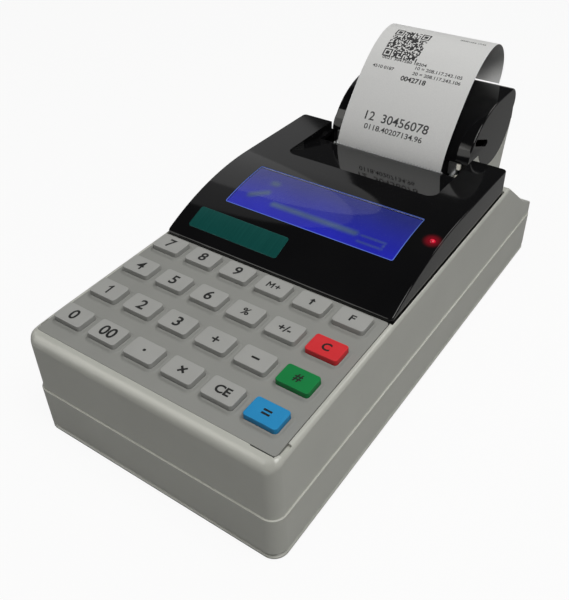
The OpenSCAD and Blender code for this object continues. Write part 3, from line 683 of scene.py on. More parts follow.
def flat_text(name, words, height, weight=0.0, spread_x=1.0):
    """Text as a flat mesh, centred on the origin, its capitals as high as asked."""
    clear()
    bpy.ops.object.text_add(location=(0, 0, 0))
    sign = bpy.context.object
    sign.name = name
    sign.data.body = words
    sign.data.size = height / CAPITAL * MM
    sign.data.offset = weight * MM
    sign.data.resolution_u = 4
    bpy.ops.object.convert(target="MESH")
    sign = bpy.context.object
    sign.scale.x = spread_x
    bake_place(sign)
    low = [min(v.co[i] for v in sign.data.vertices) for i in (0, 1)]
    high = [max(v.co[i] for v in sign.data.vertices) for i in (0, 1)]
    sign.location = (-(low[0] + high[0]) / 2, -(low[1] + high[1]) / 2, 0)
    return bake_place(sign)

def drawn_sign(name, outlines, turned=0.0):
    """Flat outlines in millimetres, traced one by one and joined into one sign."""
    sign = join([trace(name, [Vector((x * MM, y * MM, 0)) for x, y in outline]) for outline in outlines])
    sign.rotation_euler.z = math.radians(turned)
    return bake_place(sign)

def bar(width, height, y=0.0):
    """The corners of an upright rectangle."""
    return [(i * width / 2, y + j * height / 2) for i, j in ((-1, -1), (1, -1), (1, 1), (-1, 1))]

def cross(size, width):
    return [(x * size if abs(x) == 1 else x * width, y * size if abs(y) == 1 else y * width) for x, y in
            ((-0.5, -1), (0.5, -1), (0.5, -0.5), (1, -0.5), (1, 0.5), (0.5, 0.5), (0.5, 1), (-0.5, 1),
             (-0.5, 0.5), (-1, 0.5), (-1, -0.5), (-0.5, -0.5))]

def shifted(outline, across):
    return [(x + across, y) for x, y in outline]

EM = [(-1.55, -1.65), (-0.9, -1.65), (-0.9, 0.45), (0, -1.0), (0.9, 0.45), (0.9, -1.65), (1.55, -1.65),
      (1.55, 1.65), (0.95, 1.65), (0, 0.1), (-0.95, 1.65), (-1.55, 1.65)]
ONE = [(0.0, -2.5), (0.82, -2.5), (0.82, 2.5), (0.16, 2.5), (-0.25, 1.85), (-1.1, 1.3), (-1.1, 0.62),
       (0.0, 1.15)]
ARROW = [(-0.42, -1.9), (0.42, -1.9), (0.42, 0.3), (1.3, 0.3), (0, 1.95), (-1.3, 0.3), (-0.42, 0.3)]
DRAWN = {"point": [circle(0, 0, 0.66)], "times": [cross(1.9, 0.92)], "plus": [cross(1.65, 0.8)],
         "blue": [bar(3.4, 0.85, 0.78), bar(3.4, 0.85, -0.78)], "minus": [bar(3.4, 0.95)], "up": [ARROW],
         "1": [ONE], "memory": [shifted(EM, -1.5), shifted(cross(1.2, 0.6), 1.9)]}
WORDS = {"clear": ("CE", 3.6, 0.17, 1.08), "green": ("#", 3.8, 0.12), "percent": ("%", 3.7, 0.13),
         "change": ("+/-", 3.6, 0.16), "red": ("C", 3.8, 0.17), "mode": ("F", 3.5, 0.13, 1.1),
         "4": ("4", 5.1, 0.08, 1.08)}

def make_sign(name):
    if name in DRAWN:
        return drawn_sign("sign", DRAWN[name], 45 if name == "times" else 0)
    return flat_text("sign", *WORDS.get(name, (name, 5.1, 0.15, 1.04)))

print("drawn", sorted(DRAWN), "as text", sorted(WORDS))

# %% [markdown]
# Each sign is laid a few hundredths of a millimetre over a copy of the key and joined to it as
# a second material, so that it travels with the key. The finished key is put in its place
# on the flat drawing and then laid on the slope.

# %% All keys
ORDER = ["0", "00", "point", "times", "clear", "blue", "1", "2", "3", "plus", "minus", "green",
         "4", "5", "6", "percent", "change", "red", "7", "8", "9", "memory", "up", "mode"]

def make_keys():
    for number, name in enumerate(ORDER):
        x, y = key_place(number % 6, number // 6)
        node = "key_" + name
        key = twin_of(key_pattern)
        key.name = "cap_" + name
        key.data.materials.append(PAINTS[SLOT_OF[node]])
        sign = make_sign(name)
        sign.location = from_front(0, 0, KEY_RISE + 0.02)
        bake_place(sign)
        sign.data.materials.append(PAINTS["key_ink"])
        join([key, sign])
        key.location = (x * MM, y * MM, 0)
        hand_over(lay_on_rim(bake_place(key)), node)

make_keys()
bpy.data.objects.remove(key_pattern)

# %% [markdown]
# The mat is one sheet of silicone. It swells into a low soft web round each key, like the
# skirt of a rubber key, and the cap moves through a hole in the web. Webs and holes are
# copied tools, and one bevel between the two steps makes every slope run out softly.

# %% Keypad mat
def repeat_at_keys(tool):
    """Copies a tool to all 24 key places and joins the copies."""
    copies = []
    for number in range(len(ORDER)):
        x, y = key_place(number % 6, number // 6)
        twin = twin_of(tool)
        twin.location = (x * MM, y * MM, 0)
        copies.append(bake_place(twin))
    bpy.data.objects.remove(tool)
    return join(copies)

def on_web_slope(edge):
    """True for the folds where a web rises from the sheet."""
    spot = middle(edge) / MM
    return (edge.is_manifold and edge.calc_face_angle() > 0.26 and spot.z > -0.1 and abs(spot.x) < 55.6
            and 6.2 < spot.y + HALF_LENGTH < 79.2)

def make_mat():
    mat = plan_prism("keypad_sheet", rounded(-56.1, 55.85, 5.65, 79.6, 1.3), -1.4, 0)
    web = plan_prism("webs", rounded(-8.8, 8.8, -6.7, 6.7, 3.2), -0.7, 1.0)
    with editing(web):
        pick("faces", faces_up)
        bpy.ops.transform.resize(value=(0.842, 0.772, 1))
    weld(mat, repeat_at_keys(web))
    with editing(mat, "EDGE"):
        pick("edges", on_web_slope)
        round_off(0.45, 4)
    cut(mat, repeat_at_keys(plan_prism("holes", rounded(-7.05, 7.05, -4.8, 4.8, 1.5), -2, 2)))
    soften(mat, 0.1, 2, 50)
    hand_over(lay_on_rim(mat), "keypad_mat")

make_mat()

# %% [markdown]
# The display cover is one polished moulding. Seen from the side it leaves the keypad with a
# small upright edge, climbs on an arc and folds into a flat top. Functions give the height of
# that line at any place, because the window, the badge and the lamp follow it too. The space
# of the paper tray is drawn as a tool, once for the tray and once, larger, for its wall.

# %% Cover outline
COVER_HALF, COVER_FRONT, COVER_REAR, COVER_TOP, FOLD, FACE_R = 56.8, 79.8, 190.0, 68.0, 139.0, 131.0
TRAY_FRONT, TRAY_HALF, SLOT_FRONT, SLOT_HALF, TRAY_DROP = 148.0, 39.5, 176.8, 38.1, 4.2

def face_height(y):
    """Height of the cover over the table, at a distance from the front lip."""
    if y >= FOLD:
        return COVER_TOP
    return COVER_TOP - FACE_R + math.sqrt(FACE_R ** 2 - (FOLD - y) ** 2)

def face_line(start, end, drop=0.0, steps=24):
    return [(y, face_height(y) - drop) for y in (start + (end - start) * i / steps for i in range(steps + 1))]

def seat_height(y, depth):
    return RIM_Z + y * math.tan(TILT) - depth

def tray_tool(name, grow):
    """The space of the paper tray: a rounded plan, cut by the two slopes of its floor."""
    side, front = TRAY_HALF + grow, TRAY_FRONT + 5
    plan = arc((TRAY_HALF - 5, front), 5 + grow, 0, -90) + arc((5 - TRAY_HALF, front), 5 + grow, -90, -180)
    tool = plan_prism(name, [(side, 200)] + plan + [(-side, 200)], 50, 90)
    slope = Vector((0, TRAY_DROP, SLOT_FRONT - TRAY_FRONT)).normalized()
    for place, normal in (((0, TRAY_FRONT - grow, COVER_TOP - 0.1 - grow), slope),
                          ((0, SLOT_FRONT, COVER_TOP - TRAY_DROP - grow), Vector((0, 0, 1)))):
        with editing(tool):
            everything()
            bpy.ops.mesh.bisect(plane_co=from_front(*place), plane_no=normal, use_fill=True, clear_inner=True)
    return face_out(tool)

print("cover rises from", round(face_height(COVER_FRONT), 1), "to", COVER_TOP)

# %% [markdown]
# The side outline of the cover is pulled across the width and its upright corners and its
# upper rim are rounded. Then it is hollowed, leaving the tray at the rear where the paper
# comes out, and opened for the window, the lamp and the slot. Four posts carry the panel.

# %% Display cover
PANE = (-41.1, 43.8, 102.8, 130.7)
PANEL_X, PANEL_FRONT, PANEL_LONG = 1.2, 102.6, 28.2
PANEL_Z = face_height(PANEL_FRONT)
PANEL_RISE = face_height(PANEL_FRONT + PANEL_LONG) - PANEL_Z

def grown(box, by):
    return box[0] - by, box[1] + by, box[2] - by, box[3] + by

def on_upper_rim(edge):
    """True where the face of the cover meets its walls."""
    climbs = [abs(face.normal.z) for face in edge.link_faces]
    return len(climbs) == 2 and max(face.normal.z for face in edge.link_faces) > 0.7 and min(climbs) < 0.3

def make_cover():
    bottom = [(y, seat_height(y, 2.1)) for y in (COVER_REAR, COVER_FRONT)]
    outline = face_line(COVER_FRONT, FOLD) + [(COVER_REAR, COVER_TOP)] + bottom
    cover = side_prism("cover_shell", outline, -COVER_HALF, COVER_HALF)
    with editing(cover, "EDGE"):
        pick("edges", lambda e: runs_along(e, 2))
        round_off(2, 5)
        pick("edges", on_upper_rim)
        round_off(0.7, 4, clamp_overlap=True)
    front, rear = COVER_FRONT + 2, COVER_REAR - 2
    hollow = face_line(front, FOLD, 2) + [(rear, COVER_TOP - 2), (rear, 40), (front, 40)]
    inside = side_prism("inside", hollow, 2 - COVER_HALF, COVER_HALF - 2)
    cut(inside, tray_tool("tray_wall", 2.0))
    cut(cover, inside)
    cut(cover, tray_tool("tray", 0.0))
    cut(cover, block("slot", (-SLOT_HALF, SLOT_FRONT, 40), (SLOT_HALF, 195, 90)))
    cut(cover, plan_prism("window_hole", rounded(*grown(PANE, 0.1), 1.0), 40, 90))
    cut(cover, plan_prism("lamp_hole", circle(LAMP_X, LAMP_Y, 1.6, 16), 40, 90))
    for side in (-1, 1):
        for along in (0, 28):
            z = PANEL_Z + along * PANEL_RISE / PANEL_LONG
            post = circle(PANEL_X + side * 50, PANEL_FRONT + along, 1.3)
            weld(cover, plan_prism("post", post, z - 7, z - 1.2))
    cover.data.materials.append(PAINTS["cover_black"])
    hand_over(cover, "display_cover", angle=32)

make_cover()

# %% [markdown]
# Behind the opening lies a curved window of clear acrylic, and a glowing line of painted light
# runs round its border, standing in for its lit edge. The badge is a thin bare plate that
# follows the curve of the cover. All three are cut from the same kind of curved plate. The lamp
# is the upper half of a small ball, drawn down into the foot that holds it in its hole.

# %% Window, badge and lamp
def curved_plate(name, box, outer, inner, radius):
    """A plate between two depths under the face of the cover, with rounded corners."""
    x0, x1, y0, y1 = box
    lines = [face_line(y0 - 2, y1 + 2, drop, 16) for drop in (outer, inner)]
    plate = side_prism(name, lines[0] + lines[1][::-1], x0 - 2, x1 + 2)
    return combine(plate, plan_prism("plan", rounded(*box, radius), 30, 90), "INTERSECT")

def make_window():
    window = soften(curved_plate("window_pane", PANE, 0.05, 1.6, 0.9), 0.12, 2, 60)
    hand_over(window, "display_window", angle=30)
    line = curved_plate("window_glow_line", grown(PANE, 0.05), 0.03, 0.2, 0.9)
    cut(line, plan_prism("gap", rounded(-40.85, 43.5, 103.05, 130.45, 0.7), 30, 90))
    # the line glows: painted light along the window's edge
    line.data.materials.append(PAINTS["window_edge_glow"])
    settle(line, "register")

def make_badge():
    badge = curved_plate("badge_bare", (-48.8, -1.2, 85.3, 95.9), -0.42, 0.0, 1.2)
    hand_over(soften(badge, 0.18, 2, 60), "badge_plate", angle=30)

def make_lamp():
    clear()
    bpy.ops.mesh.primitive_uv_sphere_add(segments=32, ring_count=16, radius=1.5 * MM, location=(0, 0, 0))
    lens = bpy.context.object
    lens.name = "lamp_lens"
    with editing(lens):
        everything()
        bpy.ops.mesh.bisect(plane_co=(0, 0, 0), plane_no=(0, 0, 1), use_fill=True, clear_inner=True)
        pick("faces", faces_down)
        draw_down((0, 0, 0), ((3.2, (1, 1, 1)), (0, (1.2, 1.2, 1)), (3.4, (1, 1, 1))))
    lens.location = from_front(LAMP_X, LAMP_Y, face_height(LAMP_Y) - 0.9)
    hand_over(face_out(bake_place(lens)), "status_lamp")

make_window()
make_badge()
make_lamp()

# %% [markdown]
# The panel under the window glows blue. What it shows is only hinted at by a few plain marks.
# Each mark is an outline set in once, and the number "fade" is stored on its corners: nothing
# on the rim and most in the middle, so its finish melts into the glow.

# %% Display panel and its marks
MARKS = [("bar", -1.5, 9.6, 47, 5.0, 0), ("tick", -33.0, 13.0, 13, 5.4, 34), ("dot", -30.0, 22.0, 7, 5.4, 0),
         ("long", 28.6, 9.6, 13.5, 2.2, 0), ("low", 28.6, 5.8, 13.5, 2.2, 0),
         ("end", 34.2, 7.7, 5.0, 2.0, 90)]

def on_panel(piece):
    """Moves a flat drawing onto the sloping glass of the panel."""
    return lay_on(piece, from_front(PANEL_X, PANEL_FRONT, PANEL_Z), math.atan2(PANEL_RISE, PANEL_LONG))

def make_panel():
    panel = plan_prism("panel_glass", rounded(-47, 47, -2.8, 31.2, 0.8), -5.4, -2.6)
    hand_over(on_panel(soften(panel, 0.25, 2, 50)), "display_panel")

def rim_corners(mesh):
    """The numbers of the corners on the open border of a flat mesh."""
    faces = [set(face.vertices) for face in mesh.polygons]
    return {v for e in mesh.edges if sum(set(e.vertices) <= face for face in faces) == 1 for v in e.vertices}

def make_mark(name, x, y, wide, deep, turned):
    outline = rounded(-wide / 2, wide / 2, -deep / 2, deep / 2, 0.98 * deep / 2)
    mark = trace("mark_" + name, [Vector((u * MM, v * MM, -2.56 * MM)) for u, v in outline])
    with editing(mark):
        everything()
        bpy.ops.mesh.inset(thickness=0.42 * deep * MM, depth=0)
    mark.rotation_euler.z = math.radians(turned)
    mark.location = from_front(x, y, 0)
    bake_place(mark)
    rim = rim_corners(mark.data)
    fade = mark.data.attributes.new("fade", "FLOAT", "POINT")
    for v in mark.data.vertices:
        fade.data[v.index].value = 0.0 if v.index in rim else (0.85 if deep > 3 else 0.5)
    mark.data.materials.append(PAINTS["display_mark"])
    return mark

make_panel()
marks = on_panel(join([make_mark(*row) for row in MARKS]))
marks.name = "display_marks"
settle(marks, "register")

# %% [markdown]
# The lid over the paper roll is a hood with an elliptical front, a flat top and a round
# nose, where it meets the hinge. One side outline gives all of it; the side edges are
# rounded last, on the outside only, so that the wall stays even inside. A slanted slot in
# each side gives a finger its grip.

# %% Roll lid
HOOD_C, HOOD_A, HOOD_B, NOSE_R, LID_HALF, LID_T = (222.0, 60.0), 34.5, 26.3, 7.5, 38.0, 1.8
NOSE_C = (237.3, HOOD_C[1] + HOOD_B - NOSE_R)
HINGE = (242.8, 70.2)

def hood_line(inset, steps=28):
    sweep = [math.radians(168.4 - 78.4 * i / steps) for i in range(steps + 1)]
    front = [(HOOD_C[0] + (HOOD_A - inset) * math.cos(a), HOOD_C[1] + (HOOD_B - inset) * math.sin(a))
             for a in sweep]
    return front + arc(NOSE_C, NOSE_R - inset, 90, -42, 20)

def rod(name, centre, radius, x0, x1, steps=32):
    """A bar across the width: a ring of points, pulled along X."""
    return side_prism(name, circle(*centre, radius, steps), x0, x1)

def from_hinge(outline):
    return [(HINGE[0] + y, HINGE[1] + z) for y, z in outline]

def on_hood_edge(edge):
    """True for the outer side edges of the hood, above its skirt."""
    spot = middle(edge) / MM
    y, z = spot.y + HALF_LENGTH, spot.z
    reach = ((y - HOOD_C[0]) / HOOD_A) ** 2 + ((z - HOOD_C[1]) / HOOD_B) ** 2
    outside = all(abs(abs(v.co.x) / MM - LID_HALF) < 0.001 for v in edge.verts)
    return outside and z > 71.5 and (reach > 0.97 or y > 224)

def finger_slot(side):
    """The tool for the grip in one side of the lid: drawn flat, tilted, and mirrored for the left."""
    outline = arc((0, 0), 1.7, 90, 270) + arc((14, 0), 1.7, -90, 90)
    slot = lay_on(side_prism("finger_slot", outline, LID_HALF - 3, LID_HALF + 2),
                  from_front(0, 196.4, 73.6), math.radians(-22))
    if side < 0:
        activate(slot)
        bpy.ops.transform.mirror(constraint_axis=(True, False, False), center_override=(0, 0, 0))
        slot = face_out(bake_place(slot))
    return slot

def make_lid():
    skirt = arc((221, 75), 22, -18, -153.5, 32)
    lid = side_prism("lid_hood", hood_line(0) + [(243, 69)] + skirt, -LID_HALF, LID_HALF)
    inside = hood_line(LID_T) + [(241.3, 72.6), (241.3, 45), (HOOD_C[0] - HOOD_A + LID_T + 0.5, 45)]
    cut(lid, side_prism("hollow", inside, LID_T - LID_HALF, LID_HALF - LID_T))
    knuckle = rod("knuckle", HINGE, 2.3, -18, 18)
    web = from_hinge(((-0.6, 0), (2.1, 0.6), (0.85, 5.9), (-0.6, 5.9)))
    weld(lid, weld(knuckle, side_prism("web", web, -17.98, 17.98)))
    cut(lid, rod("bore", HINGE, 1.06, -30, 30, 24))
    for side, (x0, x1) in zip((-1, 1), mirrored_spans(18, 28.5)):
        cut(lid, block("notch", (x0, HINGE[0] - 3.2, 60), (x1, HINGE[0] + 4, HINGE[1] + 3)))
        cut(lid, finger_slot(side))
    with editing(lid, "EDGE"):
        pick("edges", on_hood_edge)
        round_off(0.9, 4)
    hand_over(lid, "roll_lid", angle=32)

make_lid()

# %% [markdown]
# The receipt is a strip of thermal paper that climbs out of the slot, leans back and curls
# over the lid. Its path is drawn as a curve. The strip and all its print are modelled flat,
# and then a Curve modifier wraps them along the path together, so that the print follows
# the paper exactly. What is printed is made up: a block of random squares and rows of numbers.

# %% Paper path
PAPER_HALF = 28.75

def bezier(a, b, c, d, steps):
    points = []
    for i in range(steps + 1):
        t = i / steps
        s = 1 - t
        weights = (s ** 3, 3 * s * s * t, 3 * s * t * t, t ** 3)
        points.append(tuple(sum(w * p[k] for w, p in zip(weights, (a, b, c, d))) for k in (0, 1)))
    return points

def paper_path():
    """Points of the paper's middle, from the free web under the roll to the free end."""
    roll, platen, web, reel = (215.6, 59.5), (183.8, 54.0), 5.4, 20.4
    span = math.dist(roll, platen)
    lean = math.degrees(math.atan2(platen[1] - roll[1], platen[0] - roll[0])) + 360
    lean = lean - math.degrees(math.asin((reel - web) / span)) + 90
    inside = arc(roll, reel, lean, lean, 1)[:1] + arc(platen, web, lean, 180, 16)
    front = bezier((178.4, 63), (179.2, 70.5), (190, 84), (200, 94), 30)
    top = bezier((200, 94), (208.5, 102.5), (219, 109.2), (229, 109.2), 24)[1:]
    rear = bezier((229, 109.2), (239.5, 109.2), (249, 97.5), (242, 85.7), 34)[1:]
    return inside + front + top + rear, len(inside)

PATH, INSIDE = paper_path()
LENGTHS = [0.0]
for one, two in zip(PATH, PATH[1:]):
    LENGTHS.append(LENGTHS[-1] + math.dist(one, two))
EXIT_AT = LENGTHS[INSIDE] + 1.0
print("paper strip", round(LENGTHS[-1], 1), "mm long, leaves the slot at", round(EXIT_AT, 1))

# %% [markdown]
# The curve's own points are the path, so one step along the flat strip is the same step
# along the curve. Flat drawings are laid out with X along the strip and Y across it, which
# is how the Curve modifier reads them.

# %% Wrap helper
def path_curve():
    clear()
    line = bpy.data.curves.new("paper_line", "CURVE")
    line.dimensions = "3D"
    line.twist_mode = "MINIMUM"
    spline = line.splines.new("POLY")
    spline.points.add(len(PATH) - 1)
    for point, (y, z) in zip(spline.points, PATH):
        point.co = (*from_front(0, y, z), 1)
    holder = bpy.data.objects.new("paper_line", line)
    bpy.context.scene.collection.objects.link(holder)
    return holder

def on_strip(piece, across, along):
    """Turns a drawing over onto the print side of the strip, at a distance from the slot."""
    over = Matrix(((0, 1, 0, 0), (1, 0, 0, 0), (0, 0, -1, 0), (0, 0, 0, 1)))
    place = Matrix.Translation(Vector((EXIT_AT + along, across, 0)) * MM)
    piece.matrix_world = place @ over @ piece.matrix_world
    return bake_place(piece)

print("path has", len(PATH), "points")

# %% [markdown]
# The strip itself is a grid, fine along its length so that it bends in small steps, with a
# real paper's thickness, half of it on each side of the path.

# %% The paper strip
def make_strip():
    long = LENGTHS[-1]
    clear()
    bpy.ops.mesh.primitive_grid_add(x_subdivisions=170, y_subdivisions=8, size=1, location=(0, 0, 0))
    strip = bpy.context.object
    strip.name = "receipt_strip"
    strip.scale = (long * MM, 2 * PAPER_HALF * MM, 1)
    strip.location = (long * MM / 2, 0, 0)
    modify(bake_place(strip), "SOLIDIFY", thickness=0.15 * MM, offset=0)
    strip.data.materials.append(PAINTS["paper"])
    return strip

# %% [markdown]
# The square code is a grid plane with the light cells deleted. Three corner marks are set by
# a rule and the rest by a seeded random choice, so it is the same in every run and means
# nothing. The numbers are text turned into a mesh and divided finely enough to bend. All print
# lies a hair above the face of the paper.

# %% Print
LIFT, DARK_SHARE = 0.095, 0.56
LINES = [("12  30456078", -0.4, 16.6, 4.5, 0.06, 1.04), ("0118.40207134.96", -0.6, 11.2, 2.7, 0.05, 1.16),
         ("0042718", -0.2, 38.3, 2.5, 0.10, 1.12), ("10 = 208.117.243.105", 10.6, 44.9, 1.75, 0.04, 1.2),
         ("20 = 208.117.243.106", 10.6, 41.9, 1.75, 0.04, 1.2), ("4510 0187", -18.2, 41.8, 1.7, 0.04, 1.18),
         ("0021 3047560 18204", -9.0, 47.2, 1.6, 0.04, 1.3), ("00081254 17:45", 18.0, 68.4, 1.3, 0.02, 1.15)]

def code_cell(column, row, cells, chance):
    """True where the square code is dark."""
    for across, up in ((0, cells - 7), (cells - 7, cells - 7), (0, 0)):
        x, y = column - across, row - up
        if -1 <= x <= 7 and -1 <= y <= 7:
            return max(abs(x - 3), abs(y - 3)) in (0, 1, 3)
    return chance < DARK_SHARE

def make_code(across, along, width, cells=29):
    rng = random.Random(7)
    clear()
    bpy.ops.mesh.primitive_grid_add(x_subdivisions=cells, y_subdivisions=cells, size=width * MM,
                                    location=(0, 0, LIFT * MM))
    code = bake_place(bpy.context.object)
    cell = width * MM / cells
    chances = {(c, r): rng.random() for c in range(cells) for r in range(cells)}

    def light(face):
        spot = face.calc_center_median()
        column, row = (int((v + width * MM / 2) / cell) for v in (spot.x, spot.y))
        return not code_cell(column, row, cells, chances[(column, row)])

    with editing(code):
        pick("faces", light)
        bpy.ops.mesh.delete(type="FACE")
    return on_strip(code, across, along)

def make_line(words, across, along, height, weight, wide):
    line = flat_text("printed", words, height, weight, wide)
    line.location.z = LIFT * MM
    with editing(bake_place(line)):
        everything()
        bpy.ops.mesh.quads_convert_to_tris()
        if height > 2:
            bpy.ops.mesh.subdivide(number_cuts=1)
    return on_strip(line, across, along)

def make_receipt():
    path, strip = path_curve(), make_strip()
    printed = [make_code(-12.5, 57.3, 19.0)] + [make_line(*row) for row in LINES]
    for mark in printed:
        mark.data.materials.clear()
        mark.data.materials.append(PAINTS["print_ink"])
    join([strip] + printed)
    modify(strip, "CURVE", object=path, deform_axis="POS_X")
    bpy.data.objects.remove(path)
    hand_over(strip, "receipt", angle=50)
    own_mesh(strip)

make_receipt()

# %% [markdown]
# The upper case is the piece that carries the character of the object: walls that lean in a
# little, a front edge rounded as wide as a finger and narrower rims along the sides. A bevel
# has one width, and where a wide one meets a narrow one it folds over itself. So the outline
# of the case is extruded ring by ring instead, and each ring is set in and raised along a
# quarter circle whose radius shrinks softly from the front edge to the sides. The walls
# start 0.7 mm inside the lower case, whose lip then catches light along the seam.

# %% Case outlines
CASE_HALF, UPPER_LONG, LOWER_LONG, SEAM_Z, WALL, CORNER, LIP = 59.4, 240.0, 238.0, 22.6, 2.0, 6.0, 0.7
SLOPE = [(194.5, 56.21), (222.0, 35.6), (231.5, 31.0), (238.0, 27.0), (240.0, 24.0)]
NORMALS = [(-0.35, -1.0), (-0.53, -0.86), (-0.48, -0.88), (-0.71, -0.74), (-1.0, -0.3)]
RADII = [(0, 5.2), (0.8, 5.0), (3, 3.4), (8, 2.4), (20, 1.9), (190, 1.9), (196, 0.6), (240, 0.55)]

def along(table, at):
    """A value read from a table of (place, value) pairs, straight between them."""
    for (a, low), (b, high) in zip(table, table[1:]):
        if at <= b:
            return low + (high - low) * max(0.0, (at - a) / (b - a))
    return table[-1][1]

def rim_height(y):
    return along([(0, RIM_Z)] + SLOPE, y)

def corner_points(centre_y, start):
    """Eleven points of a quarter circle at a right corner of the case, each with its outward normal."""
    turns = [math.radians(start + 9 * i) for i in range(11)]
    normals = [(math.cos(a), math.sin(a)) for a in turns]
    return [((CASE_HALF - CORNER + CORNER * nx, centre_y + CORNER * ny), (nx, ny)) for nx, ny in normals]

def case_outline():
    """Corner arcs and side points of the case seen from above, each with its outward normal."""
    sides = [8, 10, 12.5, 15.5, 20, 60, 120, 190, 194.5, 197, 222, 231.5]
    right = corner_points(CORNER, -90) + [((CASE_HALF, y), (1.0, 0.0)) for y in sides]
    right += corner_points(UPPER_LONG - CORNER, 0)
    return right + [((-x, y), (-nx, ny)) for (x, y), (nx, ny) in reversed(right)]

def case_ring(turn, foot=None):
    """The ring at one angle of the rim's quarter circle, or at a given height of the wall."""
    ring = []
    for (x, y), (nx, ny) in case_outline():
        radius = along(RADII, y)
        low = rim_height(y) - radius if foot is None else foot
        inset = radius * (1 - math.cos(turn)) if foot is None else 0
        lean = 0.3 * (low - SEAM_Z) / (RIM_Z - SEAM_Z)
        x -= nx * (inset + LIP + lean)
        y -= ny * (inset + LIP + (0.8 * lean if ny < 0 else 0))
        z = foot if foot is not None else rim_height(y) - radius * (1 - math.sin(turn))
        ring.append(from_front(x, y, z))
    return ring

print("rings of", len(case_ring(0)), "points")

# %% [markdown]
# The cap of the growing body is extruded in place once for each ring, and its corners are
# then put on the ring's points. The last cap isn't flat, because it follows the rear slope,
# so its left and right corners are connected and it folds along straight lines.

# %% Rings that follow the rim
def raise_rings(piece, rings):
    """Extrudes the cap of a piece once for each ring and puts its corners there."""
    with editing(piece):
        everything()
        for before, ring in zip(rings, rings[1:]):
            pull((0, 0, 0))
            mesh = bmesh.from_edit_mesh(piece.data)
            for corner in [v for v in mesh.verts if v.select]:
                corner.co = ring[min(range(len(ring)), key=lambda k: (corner.co - before[k]).length)]
            bmesh.update_edit_mesh(piece.data)
    return piece

def fold_roof(piece, roof):
    """Connects the left and right corners of the roof, so that it can follow the rear slope."""
    with editing(piece, "VERT"):
        for left, right in roof:
            pick("verts", lambda v: min((v.co - left).length, (v.co - right).length) < 1e-5)
            bpy.ops.mesh.vert_connect()
    return piece

def case_body():
    rings = [case_ring(0, SEAM_Z + 0.06)] + [case_ring(math.radians(90 * i / 8)) for i in range(9)]
    body = raise_rings(trace("shell_upper", rings[0]), rings)
    last, count = rings[-1], len(rings[-1])
    return face_out(fold_roof(body, [(last[i], last[count - 1 - i]) for i in range(19, count // 2 - 1)]))

case = case_body()
print("case body", len(case.data.polygons), "faces,", [round(v / MM, 1) for v in case.dimensions])

# %% [markdown]
# Inside, the case is a shell with a deck under the keypad. The hollow is one tool: a rounded
# plan, limited from the side by the slope of the rear and from the front by the lean of the
# walls, with the deck taken out of it.

# %% Hollow of the case
def case_hollow():
    """The space inside the walls, with the deck left standing under the keypad."""
    inset, bottom = WALL, SEAM_Z - 2
    outline = rounded(inset - CASE_HALF, CASE_HALF - inset, inset, UPPER_LONG - inset, CORNER - inset, 10)
    hollow = plan_prism("hollow", outline, bottom, 75)
    rear = [(y + inset * n[0], z + inset * n[1]) for (y, z), n in zip(SLOPE, NORMALS)]
    side = [(inset, bottom - 1), (inset, SEAM_Z), (0.9 + inset, RIM_Z + 0.03 - inset)] + rear
    combine(hollow, side_prism("side", side + [(UPPER_LONG - inset, bottom - 1)], -70, 70), "INTERSECT")
    low, top = CASE_HALF - inset, CASE_HALF - 1.2 - inset
    front = [(-low, -60), (-low, SEAM_Z - RIM_Z), (-top, 5), (top, 5), (low, SEAM_Z - RIM_Z), (low, -60)]
    lean = prism("front", [from_front(x, -30, z) for x, z in front], Vector((0, 300 * MM, 0)))
    combine(hollow, lay_on_rim(lean), "INTERSECT")
    return cut(hollow, lay_on_rim(block("deck", (-80, 0, -3.4), (80, 194.5, 5))))

cut(case, case_hollow())
print("case shell", len(case.data.polygons), "faces")

# %% [markdown]
# Bosses for the screws, posts that press on the keypad board and a tower round the paper roll
# are welded on, each at its real place, so the case also looks right when the lid is open or
# the halves are taken apart. The seats of the mat and the cover, three small notches in the
# rim, the key holes and the openings for the printer and the roll are cut. Two hinge eyes
# are joined on last.

# %% Upper case
def tower_back(inset):
    foot = SEAM_Z + (-5 if inset else 3)
    return [(242.6 - inset, 68), (240 - inset, 58), (237 - inset, 42), (237 - inset, foot)]

def weld_on(case):
    """Tower, flanges beside it, bosses and posts."""
    skirt = arc((221, 75), 22.35, -153.5, -18, 32)
    tower = [(191, SEAM_Z + 3), (191, 64.85)] + skirt + tower_back(0)
    weld(case, side_prism("tower", tower, -LID_HALF, LID_HALF))
    for x0, x1 in mirrored_spans(LID_HALF - 0.1, LID_HALF + 1.6):
        weld(case, block("flange", (x0, 190.9, 50), (x1, 192.4, 64.6)))
    for x, y, tall in ((52.4, 7.4, 26), (-52.4, 7.4, 26), (52.4, 224, 7.5), (-52.4, 224, 7.5)):
        weld(case, plan_prism("boss", circle(x, y, 3.4, 24), SEAM_Z + 0.3, SEAM_Z + tall))
        cut(case, plan_prism("pilot", circle(x, y, 1.45), SEAM_Z - 1, SEAM_Z + 9))
    for x, row in ((-36.4, 1), (36.4, 1), (-36.4, 3), (36.4, 3), (0, 2)):
        post = plan_prism("post", circle(x, key_place(0, row)[1] - PITCH / 2, 1.3), -6.3, -2)
        weld(case, lay_on_rim(post))

